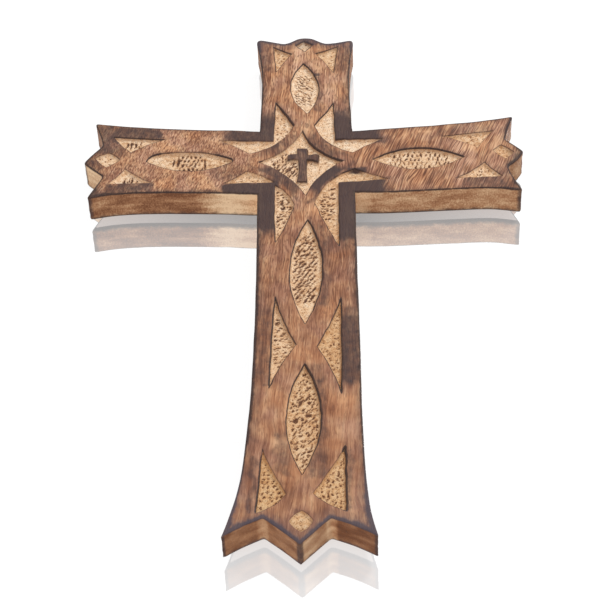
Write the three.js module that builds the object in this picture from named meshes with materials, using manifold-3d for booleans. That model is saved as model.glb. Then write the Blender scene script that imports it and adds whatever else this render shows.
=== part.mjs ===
// Carved wooden wall cross: three boards edge-glued with dowels, sawn to one outline and carved
// on the front, with a folded strap and a swinging hanging ring let into the back.
// Millimetres. The cross lies on its back: +Z is the carved front, +Y runs to the top of the cross,
// and the origin is the middle of the back's outline, on the plane that it rests on.
import * as THREE from 'three';
import { mergeVertices } from 'three/addons/utils/BufferGeometryUtils.js';
import Module from 'manifold-3d';

const wasm = await Module();
wasm.setup();

// Overall size, measured from the crossing's centre
const top_reach = 89.3;
const foot_reach = 215.7;
const arm_reach = 96.3;
const thickness = 13.5;

// Stave and arms: half sizes of the outline
const stave_half = 20.8;
const top_waist_half = 19.4;
const top_end_half = 22.2;
const foot_end_half = 27.9;
const shaft_straight = 100;
const arm_top_half = 20.6;
const arm_bottom_half = 21.6;
const arm_end_top = 27;
const arm_end_bottom = 22.2;
const arm_end_rise = 2.2;
const arm_bottom_waist = 3;
const edge_chamfer = 0.8;

// Where along a long edge, and along a side of a tip, its curve bends most, as a share
const edge_bend = 0.62;
const tip_bend = 0.3;

// Scrolled ends: how far the corners and the notches lie behind the tips, and the notches' places
const top_corner_back = 2.4;
const top_notch_back = 5.1;
const top_notch_half = 9.3;
const arm_corner_back = 4;
const arm_notch_back = 7.8;
const arm_notch_half = 9.9;
const foot_corner_back = 4.5;
const foot_notch_back = 11.7;
const foot_notch_half = 12.2;
const foot_scroll_depth = 1.5;

// Carving
const carving_depth = 2;
const border = 6.9;
const land = 5;
const arm_end_border_top = 10;
const arm_end_border_bottom = 9;
const lens_half = 6.8;
const lens_top_start = 32.8;
const lens_top_end_back = 19.8;
const lens_arm_start = 30.6;
const lens_arm_end_back = 26.8;
const lens_shaft_start = 39;
const lens_shaft_gap = 22.5;
const lens_shaft_end_back = 33.2;
const star_top = 20.5;
const star_side = 18.4;
const star_bottom = 23;
const star_bow = 0.52;
const triangle_bow = 0.25;
const diamond_bow = 0.1;
const relief_top = 8.3;
const relief_bottom = 15.5;
const relief_half = 2;
const relief_bar_y = 1.8;
const relief_bar_half = 6.6;
const relief_bar_height = 4.4;
const corner_arm_length = 36;
const corner_leg_top = 40.5;
const corner_leg_bottom = 54;
const corner_inner_x = 4.5;
const corner_arm_inner = 23;
const corner_arm_inner_y = 5.9;
const corner_leg_inner_y = 4.1;
const shaft_triangle_length = 52;
const shaft_triangle_depth = 10;
const foot_triangle_back = 15.2;
const foot_triangle_length = 31.5;
const foot_triangle_depth = 11.9;
const foot_triangle_flare = 1.2;
const arm_triangle_back = 11.9;
const arm_triangle_length = 21;
const arm_triangle_depth = 9;
const top_triangle_back = 7.1;
const top_triangle_length = 19;
const top_triangle_depth = 8.4;
const end_diamond_half = 4.6;
const end_diamond_back = 9.9;
const top_diamond_back = 6.3;
const foot_diamond_back = 10.7;

// Glue joint
const glue_line = 0.2;
const dowel_radius = 3;
const dowel_length = 30;
const dowel_spread = 11;
const dowel_clearance = 0.3;
const dowel_flutes = 12;
const dowel_flute_depth = 0.35;
const dowel_chamfer = 0.6;

// Hanger: the folded strap, its ring and its two screws
const hanger_drop = 33;
const ring_wire_radius = 1;
const ring_half_width = 7.5;
const ring_straight_side = 5.5;
const ring_corner_radius = 2;
const ring_bore_clearance = 0.3;
const strap_thickness = 0.8;
const strap_half_width = 4;
const strap_length = 22;
const strap_seat_gap = 0.1;
const pocket_clearance = 1.6;
const pocket_depth = 4.7;
const pocket_corner_radius = 4;
const screw_shank_radius = 1.1;
const screw_length = 6.5;
const screw_tip_length = 1.8;
const screw_head_radius = 2.3;
const screw_head_height = 1.3;
const screw_hole_clearance = 0.3;
const screw_first = 8;
const screw_pitch = 8;
const screw_slot_width = 0.7;
const screw_slot_half = 1.5;
const screw_slot_depth = 0.6;

// How finely curves are drawn
const edge_steps = 10;
const carving_steps = 7;
const round_sides = 20;
const wire_sides = 10;
const overcut = 1;

const wood_colour = 0x8f6850;
const wood_colour_warm = 0x9a7054;
const dowel_colour = 0xd8b98c;
const steel_colour = 0xb9b8b2;

const pivot_y = top_reach - hanger_drop;
const knuckle_radius = ring_wire_radius + ring_bore_clearance + strap_thickness;
const strap_top = pocket_depth - strap_seat_gap;
const strap_bottom = strap_top - 2 * strap_thickness;
const pivot_z = strap_top - knuckle_radius;
const ring_top = ring_straight_side + ring_half_width + ring_wire_radius;
const carving_floor = thickness - carving_depth;

// A closed, merged three.js geometry as a solid that can be joined and cut
function solid(geometry) {
  const bare = geometry.index ? geometry.toNonIndexed() : geometry.clone();
  bare.deleteAttribute('normal');
  bare.deleteAttribute('uv');
  const merged = mergeVertices(bare);
  const mesh = new wasm.Mesh({
    numProp: 3,
    vertProperties: new Float32Array(merged.attributes.position.array),
    triVerts: new Uint32Array(merged.index.array),
  });
  return new wasm.Manifold(mesh);
}

function geometryOf(body) {
  const mesh = body.getMesh();
  const geometry = new THREE.BufferGeometry();
  geometry.setAttribute('position', new THREE.BufferAttribute(mesh.vertProperties, mesh.numProp));
  geometry.setIndex(new THREE.BufferAttribute(mesh.triVerts, 1));
  geometry.computeVertexNormals();
  return geometry;
}

function plate(shape, bottom, top, curveSegments = carving_steps) {
  const geometry = new THREE.ExtrudeGeometry(shape, {
    depth: top - bottom,
    bevelEnabled: false,
    curveSegments,
  });
  return geometry.translate(0, 0, bottom);
}

function polygon(points) {
  return new THREE.Shape(points.map(([x, y]) => new THREE.Vector2(x, y)));
}

// A shape through corners: each side is [x, y, bow], and bow pulls that side's middle towards
// the shape's centre by that share of the distance
function bowedShape(corners) {
  const centre = corners.reduce(
    (sum, [x, y]) => sum.add(new THREE.Vector2(x, y)), new THREE.Vector2(),
  ).divideScalar(corners.length);
  const shape = new THREE.Shape();
  shape.moveTo(corners[0][0], corners[0][1]);
  corners.forEach(([x, y, bow], i) => {
    const [next_x, next_y] = corners[(i + 1) % corners.length];
    const middle = new THREE.Vector2((x + next_x) / 2, (y + next_y) / 2).lerp(centre, bow);
    shape.quadraticCurveTo(middle.x, middle.y, next_x, next_y);
  });
  return shape;
}

// Two arcs that meet in points, between start and end along one axis
function lens(start, end, half, along_x) {
  const middle = (start + end) / 2;
  const bulge = 2 * half;
  const shape = new THREE.Shape();
  if (along_x) {
    shape.moveTo(start, 0);
    shape.quadraticCurveTo(middle, bulge, end, 0);
    shape.quadraticCurveTo(middle, -bulge, start, 0);
  } else {
    shape.moveTo(0, start);
    shape.quadraticCurveTo(bulge, middle, 0, end);
    shape.quadraticCurveTo(-bulge, middle, 0, start);
  }
  return shape;
}

// The right half of the outline, from the top tip round to the foot's tip
function rightEdge() {
  const path = new THREE.Path();
  const top_corner_y = top_reach - top_corner_back;
  const top_notch_y = top_reach - top_notch_back;
  const arm_corner_x = arm_reach - arm_corner_back;
  const arm_notch_x = arm_reach - arm_notch_back;
  const foot_corner_y = foot_corner_back - foot_reach;
  const foot_notch_y = foot_notch_back - foot_reach;
  path.moveTo(0, top_reach);
  path.bezierCurveTo(
    (1 - edge_bend) * top_notch_half, top_reach, edge_bend * top_notch_half, top_notch_y,
    top_notch_half, top_notch_y,
  );
  path.quadraticCurveTo((top_notch_half + top_end_half) / 2, top_notch_y, top_end_half, top_corner_y);
  path.quadraticCurveTo(top_waist_half, edge_bend * top_corner_y, stave_half, arm_top_half);
  path.quadraticCurveTo(edge_bend * arm_corner_x, arm_top_half, arm_corner_x, arm_end_top);
  path.quadraticCurveTo(
    arm_notch_x, (arm_end_top + arm_notch_half) / 2, arm_notch_x, arm_end_rise + arm_notch_half,
  );
  path.quadraticCurveTo(
    (arm_notch_x + arm_reach) / 2, arm_end_rise + tip_bend * arm_notch_half,
    arm_reach, arm_end_rise,
  );
  path.quadraticCurveTo(
    (arm_notch_x + arm_reach) / 2, arm_end_rise - tip_bend * arm_notch_half,
    arm_notch_x, arm_end_rise - arm_notch_half,
  );
  path.quadraticCurveTo(
    arm_notch_x, -(arm_end_bottom + arm_notch_half) / 2, arm_corner_x, -arm_end_bottom,
  );
  path.quadraticCurveTo(
    edge_bend * arm_corner_x, arm_bottom_waist - arm_bottom_half, stave_half, -arm_bottom_half,
  );
  path.lineTo(stave_half, -shaft_straight);
  path.quadraticCurveTo(
    stave_half, edge_bend * foot_corner_y - (1 - edge_bend) * shaft_straight,
    foot_end_half, foot_corner_y,
  );
  path.quadraticCurveTo(
    (foot_end_half + foot_notch_half) / 2, foot_notch_y - foot_scroll_depth,
    foot_notch_half, foot_notch_y,
  );
  path.quadraticCurveTo(
    edge_bend * foot_notch_half, foot_notch_y - foot_scroll_depth, 0, -foot_reach,
  );
  return path.getPoints(edge_steps);
}

function outline() {
  const right = rightEdge();
  const left = right.slice(1, -1).reverse().map((p) => new THREE.Vector2(-p.x, p.y));
  return new THREE.Shape([...right, ...left]);
}

// The centre star, with the small upright cross left standing in it at the height of the land
function starCutter() {
  const star = bowedShape([
    [0, star_top, star_bow], [star_side, 0, star_bow],
    [0, -star_bottom, star_bow], [-star_side, 0, star_bow],
  ]);
  const bar_low = relief_bar_y - relief_bar_height / 2;
  const bar_high = relief_bar_y + relief_bar_height / 2;
  const relief = polygon([
    [relief_half, relief_top], [relief_half, bar_high], [relief_bar_half, bar_high],
    [relief_bar_half, bar_low], [relief_half, bar_low], [relief_half, -relief_bottom],
    [-relief_half, -relief_bottom], [-relief_half, bar_low], [-relief_bar_half, bar_low],
    [-relief_bar_half, bar_high], [-relief_half, bar_high], [-relief_half, relief_top],
  ]);
  const cutter = solid(plate(star, carving_floor, thickness + overcut));
  return cutter.subtract(solid(plate(relief, carving_floor - overcut, thickness + 2 * overcut)));
}

// An L-shaped recess in one of the four inner corners: side is -1 or 1, up is -1 or 1
function cornerRecess(side, up) {
  const leg = up > 0 ? corner_leg_top : corner_leg_bottom;
  const outer_x = stave_half - border;
  const outer_y = (up > 0 ? arm_top_half : arm_bottom_half) - border;
  const star_tip = up > 0 ? star_top : star_bottom;
  const inner_y = star_tip + corner_leg_inner_y;
  const shape = new THREE.Shape();
  const at = (x, y) => [side * x, up * y];
  shape.moveTo(...at(outer_x, leg));
  shape.lineTo(...at(outer_x, outer_y));
  shape.lineTo(...at(corner_arm_length, outer_y));
  shape.lineTo(...at(corner_arm_inner, corner_arm_inner_y));
  shape.quadraticCurveTo(
    ...at(corner_inner_x + land, corner_arm_inner_y + land), ...at(corner_inner_x, inner_y),
  );
  shape.lineTo(...at(outer_x, leg));
  return shape;
}

// A three-cornered recess beside an edge: its two far corners and the point that looks inwards
function triangle(a, b, inner) {
  return bowedShape([[...a, 0], [...b, triangle_bow], [...inner, triangle_bow]]);
}

function diamond(x, y) {
  const half = end_diamond_half;
  return bowedShape([
    [x, y + half, diamond_bow], [x + half, y, diamond_bow],
    [x, y - half, diamond_bow], [x - half, y, diamond_bow],
  ]);
}

function carvingShapes() {
  const lens_shaft_end = foot_reach - lens_shaft_end_back;
  const lens_shaft_length = (lens_shaft_end - lens_shaft_start - lens_shaft_gap) / 2;
  const shaft_gap_middle = lens_shaft_start + lens_shaft_length + lens_shaft_gap / 2;
  const outer_x = stave_half - border;
  const arm_outer_top = arm_end_top - arm_end_border_top;
  const arm_outer_bottom = arm_end_bottom - arm_end_border_bottom;
  const foot_low = foot_triangle_back - foot_reach;
  const foot_high = foot_low + foot_triangle_length;
  const shapes = [
    lens(lens_top_start, top_reach - lens_top_end_back, lens_half, false),
    lens(-lens_shaft_start, -lens_shaft_start - lens_shaft_length, lens_half, false),
    lens(lens_shaft_length - lens_shaft_end, -lens_shaft_end, lens_half, false),
    diamond(0, top_reach - top_diamond_back),
    diamond(0, foot_diamond_back - foot_reach),
  ];
  for (const side of [-1, 1]) {
    const arm_far = side * (arm_reach - arm_triangle_back);
    const arm_near = side * (arm_reach - arm_triangle_back - arm_triangle_length);
    const arm_point = (2 * arm_far + arm_near) / 3;
    shapes.push(
      lens(side * lens_arm_start, side * (arm_reach - lens_arm_end_back), lens_half, true),
      cornerRecess(side, 1),
      cornerRecess(side, -1),
      triangle(
        [side * outer_x, shaft_triangle_length / 2 - shaft_gap_middle],
        [side * outer_x, -shaft_triangle_length / 2 - shaft_gap_middle],
        [side * (outer_x - shaft_triangle_depth), -shaft_gap_middle],
      ),
      triangle(
        [side * (outer_x + foot_triangle_flare), foot_high],
        [side * (outer_x + 2 * foot_triangle_flare), foot_low],
        [side * (outer_x + foot_triangle_flare - foot_triangle_depth), foot_low + foot_triangle_length / 3],
      ),
      triangle(
        [arm_near, arm_outer_top],
        [arm_far, arm_outer_top],
        [arm_point, arm_outer_top - arm_triangle_depth],
      ),
      triangle(
        [arm_near, -arm_outer_bottom],
        [arm_far, -arm_outer_bottom],
        [arm_point, arm_triangle_depth - arm_outer_bottom],
      ),
      triangle(
        [side * outer_x, top_reach - top_triangle_back],
        [side * outer_x, top_reach - top_triangle_back - top_triangle_length],
        [side * (outer_x - top_triangle_depth), top_reach - top_triangle_back - top_triangle_length / 3],
      ),
      diamond(side * (arm_reach - end_diamond_back), arm_end_rise),
    );
  }
  return shapes;
}

function roundedBox(x0, x1, y0, y1, radius) {
  const shape = new THREE.Shape();
  shape.moveTo(x0 + radius, y0);
  shape.lineTo(x1 - radius, y0);
  shape.absarc(x1 - radius, y0 + radius, radius, -Math.PI / 2, 0);
  shape.lineTo(x1, y1 - radius);
  shape.absarc(x1 - radius, y1 - radius, radius, 0, Math.PI / 2);
  shape.lineTo(x0 + radius, y1);
  shape.absarc(x0 + radius, y1 - radius, radius, Math.PI / 2, Math.PI);
  shape.lineTo(x0, y0 + radius);
  shape.absarc(x0 + radius, y0 + radius, radius, Math.PI, 1.5 * Math.PI);
  return shape;
}

// The pocket in the back that lets the strap and the ring lie below the surface
function pocket() {
  const half = ring_half_width + ring_wire_radius + pocket_clearance;
  const low = pivot_y - strap_length - pocket_clearance;
  const high = pivot_y + ring_top + pocket_clearance;
  return solid(plate(roundedBox(-half, half, low, high, pocket_corner_radius), -overcut, pocket_depth));
}

const screw_places = [screw_first, screw_first + screw_pitch].map((drop) => pivot_y - drop);

function cylinderZ(radius, bottom, top, x, y) {
  const geometry = new THREE.CylinderGeometry(radius, radius, top - bottom, round_sides);
  return geometry.rotateX(Math.PI / 2).translate(x, y, (bottom + top) / 2);
}

function cylinderX(radius, from, to, y, z) {
  const geometry = new THREE.CylinderGeometry(radius, radius, to - from, round_sides);
  return geometry.rotateZ(Math.PI / 2).translate((from + to) / 2, y, z);
}

const dowel_z = carving_floor / 2;
const dowel_places = [-1, 1].flatMap((side) => [1, -1].map((up) => ({
  name: `${side < 0 ? 'left' : 'right'}_${up > 0 ? 'upper' : 'lower'}_dowel`,
  x: side * (stave_half + glue_line / 2),
  y: up * dowel_spread,
})));

// The glued blank is sawn, carved and drilled as one, then parted at its glue lines into boards
function carvedBlank() {
  const blank = new THREE.ExtrudeGeometry(outline(), {
    depth: thickness - 2 * edge_chamfer,
    bevelSize: edge_chamfer,
    bevelThickness: edge_chamfer,
    bevelOffset: -edge_chamfer,
    bevelSegments: 1,
  }).translate(0, 0, edge_chamfer);
  let body = solid(blank).subtract(starCutter()).subtract(pocket());
  for (const shape of carvingShapes()) {
    body = body.subtract(solid(plate(shape, carving_floor, thickness + overcut)));
  }
  for (const y of screw_places) {
    const radius = screw_shank_radius + screw_hole_clearance;
    const top = strap_bottom + screw_length + screw_hole_clearance;
    body = body.subtract(solid(cylinderZ(radius, pocket_depth - overcut, top, 0, y)));
  }
  for (const { x, y } of dowel_places) {
    const half = dowel_length / 2 + dowel_clearance;
    const radius = dowel_radius + dowel_clearance;
    body = body.subtract(solid(cylinderX(radius, x - half, x + half, y, dowel_z)));
  }
  return body;
}

// All the room on one side of the stave that an arm can take up, from its glue face outwards
function armRoom(side, face) {
  const far = arm_reach + overcut;
  const half_height = (top_reach + arm_end_top) / 2;
  const box = new THREE.BoxGeometry(far - face, 2 * half_height, 4 * thickness);
  return solid(box.translate((side * (face + far)) / 2, 0, 0));
}

function dowel() {
  const points = [];
  for (let i = 0; i < 2 * dowel_flutes; i += 1) {
    const angle = (i * Math.PI) / dowel_flutes;
    const radius = dowel_radius - (i % 2 ? dowel_flute_depth : 0);
    points.push([radius * Math.cos(angle), radius * Math.sin(angle)]);
  }
  const geometry = new THREE.ExtrudeGeometry(polygon(points), {
    depth: dowel_length - 2 * dowel_chamfer,
    bevelSize: dowel_chamfer,
    bevelThickness: dowel_chamfer,
    bevelOffset: -dowel_chamfer,
    bevelSegments: 1,
  });
  return geometry.translate(0, 0, dowel_chamfer - dowel_length / 2).rotateY(Math.PI / 2);
}

// The strap is one strip folded round the ring's bar, seen here from the side, then cut to its
// rounded plan and drilled for the screws. Its own origin is the ring's pivot.
function strap() {
  const top = knuckle_radius;
  const bottom = top - 2 * strap_thickness;
  const profile = new THREE.Shape();
  profile.moveTo(-strap_length, top);
  profile.lineTo(-strap_length, bottom);
  profile.lineTo(-2 * knuckle_radius, bottom);
  profile.absarc(0, 0, knuckle_radius, -0.7 * Math.PI, Math.PI / 2);
  profile.lineTo(-strap_length, top);
  const bore = new THREE.Path();
  bore.absarc(0, 0, ring_wire_radius + ring_bore_clearance, 0, 2 * Math.PI);
  profile.holes.push(bore);
  const strip = plate(profile, -strap_half_width, strap_half_width, round_sides);
  const sideways = new THREE.Matrix4().makeBasis(
    new THREE.Vector3(0, 1, 0), new THREE.Vector3(0, 0, 1), new THREE.Vector3(1, 0, 0),
  );
  strip.applyMatrix4(sideways);
  const plan = new THREE.Shape();
  plan.moveTo(strap_half_width + overcut, 2 * knuckle_radius);
  plan.lineTo(-strap_half_width - overcut, 2 * knuckle_radius);
  plan.lineTo(-strap_half_width - overcut, -strap_length / 2);
  plan.lineTo(-strap_half_width, -strap_length / 2);
  plan.absarc(0, strap_half_width - strap_length, strap_half_width, Math.PI, 2 * Math.PI);
  plan.lineTo(strap_half_width, -strap_length / 2);
  plan.lineTo(strap_half_width + overcut, -strap_length / 2);
  let body = solid(strip).intersect(
    solid(plate(plan, -2 * knuckle_radius, 2 * knuckle_radius, round_sides)),
  );
  for (const y of screw_places) {
    const radius = screw_shank_radius + screw_hole_clearance;
    body = body.subtract(solid(cylinderZ(radius, bottom - overcut, top + overcut, 0, y - pivot_y)));
  }
  return geometryOf(body);
}

// The ring's centre line: a straight bar in the knuckle, two sides and a half round
function ringPath() {
  const path = new THREE.Path();
  const corner = ring_corner_radius;
  path.moveTo(corner - ring_half_width, 0);
  path.lineTo(ring_half_width - corner, 0);
  path.absarc(ring_half_width - corner, corner, corner, -Math.PI / 2, 0);
  path.lineTo(ring_half_width, ring_straight_side);
  path.absarc(0, ring_straight_side, ring_half_width, 0, Math.PI);
  path.lineTo(-ring_half_width, corner);
  path.absarc(corner - ring_half_width, corner, corner, Math.PI, 1.5 * Math.PI);
  const points = path.getPoints(carving_steps);
  return points.filter((p, i) => p.distanceTo(points[(i + 1) % points.length]) > 0.01);
}

// A round wire swept along a closed flat path
function ring() {
  const path = ringPath();
  const count = path.length;
  const positions = [];
  const faces = [];
  path.forEach((point, i) => {
    const tangent = path[(i + 1) % count].clone().sub(path[(i + count - 1) % count]).normalize();
    for (let k = 0; k < wire_sides; k += 1) {
      const angle = (2 * Math.PI * k) / wire_sides;
      const out = ring_wire_radius * Math.cos(angle);
      positions.push(point.x + out * tangent.y, point.y - out * tangent.x,
        ring_wire_radius * Math.sin(angle));
      const next = (i + 1) % count;
      const k_next = (k + 1) % wire_sides;
      const [a, b] = [i * wire_sides + k, i * wire_sides + k_next];
      const [c, d] = [next * wire_sides + k_next, next * wire_sides + k];
      faces.push(a, d, c, a, c, b);
    }
  });
  const geometry = new THREE.BufferGeometry();
  geometry.setAttribute('position', new THREE.Float32BufferAttribute(positions, 3));
  geometry.setIndex(faces);
  geometry.computeVertexNormals();
  return geometry;
}

// A slotted round-headed screw. Its own origin is under the head, and its shank points along +Z.
function screw() {
  const profile = [[0, -screw_head_height]];
  for (const share of [0.5, 0.8, 0.95]) {
    const drop = screw_head_height * Math.sqrt(1 - share * share);
    profile.push([screw_head_radius * share, -drop]);
  }
  profile.push([screw_head_radius, 0], [screw_shank_radius, 0],
    [screw_shank_radius, screw_length - screw_tip_length], [0, screw_length]);
  const turned = new THREE.LatheGeometry(profile.map(([r, h]) => new THREE.Vector2(r, h)), round_sides);
  turned.rotateX(Math.PI / 2);
  const cross = [
    new THREE.BoxGeometry(2 * screw_slot_half, screw_slot_width, 2 * screw_slot_depth),
    new THREE.BoxGeometry(screw_slot_width, 2 * screw_slot_half, 2 * screw_slot_depth),
  ];
  let body = solid(turned);
  for (const slot of cross) {
    body = body.subtract(solid(slot.translate(0, 0, -screw_head_height)));
  }
  return geometryOf(body);
}

function piece(name, geometry, color, roughness, metalness, place = [0, 0, 0]) {
  const material = new THREE.MeshStandardMaterial({ color, roughness, metalness });
  const mesh = new THREE.Mesh(geometry, material);
  mesh.name = name;
  mesh.position.set(...place);
  return mesh;
}

const cross = new THREE.Group();
cross.position.y = (foot_reach - top_reach) / 2;

const blank = carvedBlank();
const arm_face = stave_half + glue_line;
const upright = blank.subtract(armRoom(-1, stave_half)).subtract(armRoom(1, stave_half));
cross.add(
  piece('upright', geometryOf(upright), wood_colour, 0.6, 0),
  piece('left_arm', geometryOf(blank.intersect(armRoom(-1, arm_face))), wood_colour_warm, 0.6, 0),
  piece('right_arm', geometryOf(blank.intersect(armRoom(1, arm_face))), wood_colour_warm, 0.6, 0),
);
for (const { name, x, y } of dowel_places) {
  cross.add(piece(name, dowel(), dowel_colour, 0.7, 0, [x, y, dowel_z]));
}

const hanger = new THREE.Group();
hanger.position.set(0, pivot_y, pivot_z);
hanger.add(
  piece('hanger_strap', strap(), steel_colour, 0.35, 0.9),
  piece('hanging_ring', ring(), steel_colour, 0.3, 0.9),
);
screw_places.forEach((y, i) => {
  const place = [0, y - pivot_y, strap_bottom - strap_seat_gap - pivot_z];
  hanger.add(piece(`hanger_screw_${i + 1}`, screw(), steel_colour, 0.35, 0.9, place));
});
cross.add(hanger);

export default cross;
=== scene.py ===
import math

import bmesh
import bpy
import numpy as np
from mathutils import Matrix, Vector
from mathutils.bvhtree import BVHTree
from mathutils.geometry import delaunay_2d_cdt


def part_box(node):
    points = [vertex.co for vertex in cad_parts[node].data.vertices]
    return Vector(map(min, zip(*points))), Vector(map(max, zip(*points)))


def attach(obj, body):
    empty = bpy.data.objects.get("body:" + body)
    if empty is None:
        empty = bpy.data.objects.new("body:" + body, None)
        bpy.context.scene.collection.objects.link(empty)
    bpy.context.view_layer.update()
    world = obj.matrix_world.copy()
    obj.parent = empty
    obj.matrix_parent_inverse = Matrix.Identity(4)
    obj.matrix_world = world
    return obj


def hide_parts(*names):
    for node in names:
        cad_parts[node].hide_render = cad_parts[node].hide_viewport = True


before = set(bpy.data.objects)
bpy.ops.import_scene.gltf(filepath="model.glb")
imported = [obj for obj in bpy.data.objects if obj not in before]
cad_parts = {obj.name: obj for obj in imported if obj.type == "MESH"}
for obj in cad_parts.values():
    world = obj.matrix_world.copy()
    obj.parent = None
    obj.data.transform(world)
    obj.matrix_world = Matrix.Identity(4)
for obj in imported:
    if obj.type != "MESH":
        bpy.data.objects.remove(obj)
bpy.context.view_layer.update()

# Frame: shapes are written in millimetres from the crossing's centre, and MM turns them into metres
MM = 0.001


def box_of(node):
    """The lowest and the highest corner of one of the frame's pieces, in mm."""
    return np.array(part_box(node)) / MM


ARM_BELOW_CROSSING = 22.2
CROSSING_Y = box_of("left_arm")[0][1] + ARM_BELOW_CROSSING
THICKNESS = box_of("upright")[1][2]
LEFT_TIP = box_of("left_arm")[0][0]
RIGHT_TIP = box_of("right_arm")[1][0]
TOP_TIP = box_of("upright")[1][1] - CROSSING_Y
FOOT_TIP = box_of("upright")[0][1] - CROSSING_Y

# Mesh fineness
OUTLINE_STEP = 0.7
RIM_STEP = 0.42
LAND_STEP = 0.85
FLOOR_STEP = 0.32
BACK_STEP = 3
MOUTH_STEP = 0.8
POCKET_STEP = 1.5
HOLE_STEP = 1
WIRE_STEP = 0.45
WIRE_SIDES = 20
# The rows of a grid lie closer than its columns, and each point strays by a share of the step
ROW_PITCH = 0.87
SCATTER = 0.18
# How far the points of a grid stay from the loops around them
EDGE_MARGIN = 0.5
RIM_MARGIN = 0.4
WALL_MARGIN = 0.2
# A point of a moved loop stays if it is at least this share of the distance away from the old one
CLEAR_SHARE = 0.96
# A normal is lengthened no further than this lean of the corner's sides asks for
LEAST_LEAN = 0.3
TINY = 1e-9
# The noise repeats after this many pitches, and starts away from the crossing
LATTICE_SIZE = 97
LATTICE_SHIFT = (31.7, 47.3)
NO_POINTS = np.empty((0, 2))

# How far a hand-held tool strayed from its line, and over what length
OUTLINE_WOBBLE = (0.12, 9)
RIM_WOBBLE = (0.2, 3.2)
RELIEF_WOBBLE = (0.06, 2)
# From where to where, in mm from a corner, it began to stray
CORNER_CALM = (0.5, 4)

# The foot's corners are sawn crisper than the other ones
CRISP_BELOW = -195

# The four inner corners, where the glue joints end, and how far around them the outline stays put
CORNER_UR = (21.4, 20)
CORNER_LR = (22.2, -21.6)
CORNER_UL = (-19.8, 20.9)
CORNER_LL = (-19.9, -21.8)
CORNER_HOLD = 1.5

# The sawn outline, clockwise. Each side is a smooth line from the last point of the side before it
# through its own points.
OUTLINE = [
    [(2.8, 88.8), (6, 86.5), (9.2, 84.5)],
    [(15, 85.3), (19, 86.4), (20.9, 86.9), (21.9, 86.7), (22.2, 85.6), (21.2, 75), (20.4, 60),
     (20.4, 45), (20.9, 30), CORNER_UR],
    [(32, 20.9), (45, 21.8), (60, 23.1), (75, 24.8), (85, 26.4), (92.9, 28)],
    [(90, 19.5), (88.2, 12)],
    [(92, 8.3), (RIGHT_TIP - 0.1, 3.4)],
    [(92.6, -2.6), (88.4, -6.6)],
    [(90.6, -14), (94, -22.6)],
    [(80, -20.5), (65, -20.7), (50, -21.3), (35, -21.9), CORNER_LR],
    [(22.4, -50), (23.1, -100), (23.4, -125), (23.7, -150), (24.4, -175), (25.3, -190),
     (26.4, -201), (28.9, -212.6)],
    [(20.2, -207.4), (11.6, -203.5)],
    [(6, -209.6), (0.3, FOOT_TIP - 0.2)],
    [(-6.4, -209.6), (-13.5, -203.1)],
    [(-20.6, -207), (-28.7, -212.4)],
    [(-25.2, -200), (-22.5, -185), (-21.2, -170), (-20, -150), (-19.3, -125), (-19, -100),
     (-19.3, -60), CORNER_LL],
    [(-40, -20.4), (-60, -19.7), (-80, -20), (-93.5, -22.5)],
    [(-90.2, -14.5), (-87.5, -8)],
    [(-92, -3.6), (LEFT_TIP - 0.4, 1.2)],
    [(-93, 7.4), (-89, 13)],
    [(-90.6, 20), (-93.6, 28.6)],
    [(-80, 26.3), (-60, 24), (-40, 22.5), (-30, 21.9), CORNER_UL],
    [(-19.5, 40), (-19.6, 60), (-21.1, 76), (-22.7, 86.8), (-22.6, 88), (-21.4, 88.5),
     (-19, 87.9), (-14, 86.2), (-9.8, 84.9)],
    [(-6.6, 86.6), (-3.4, 88.9), (-0.4, TOP_TIP)],
]

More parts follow.
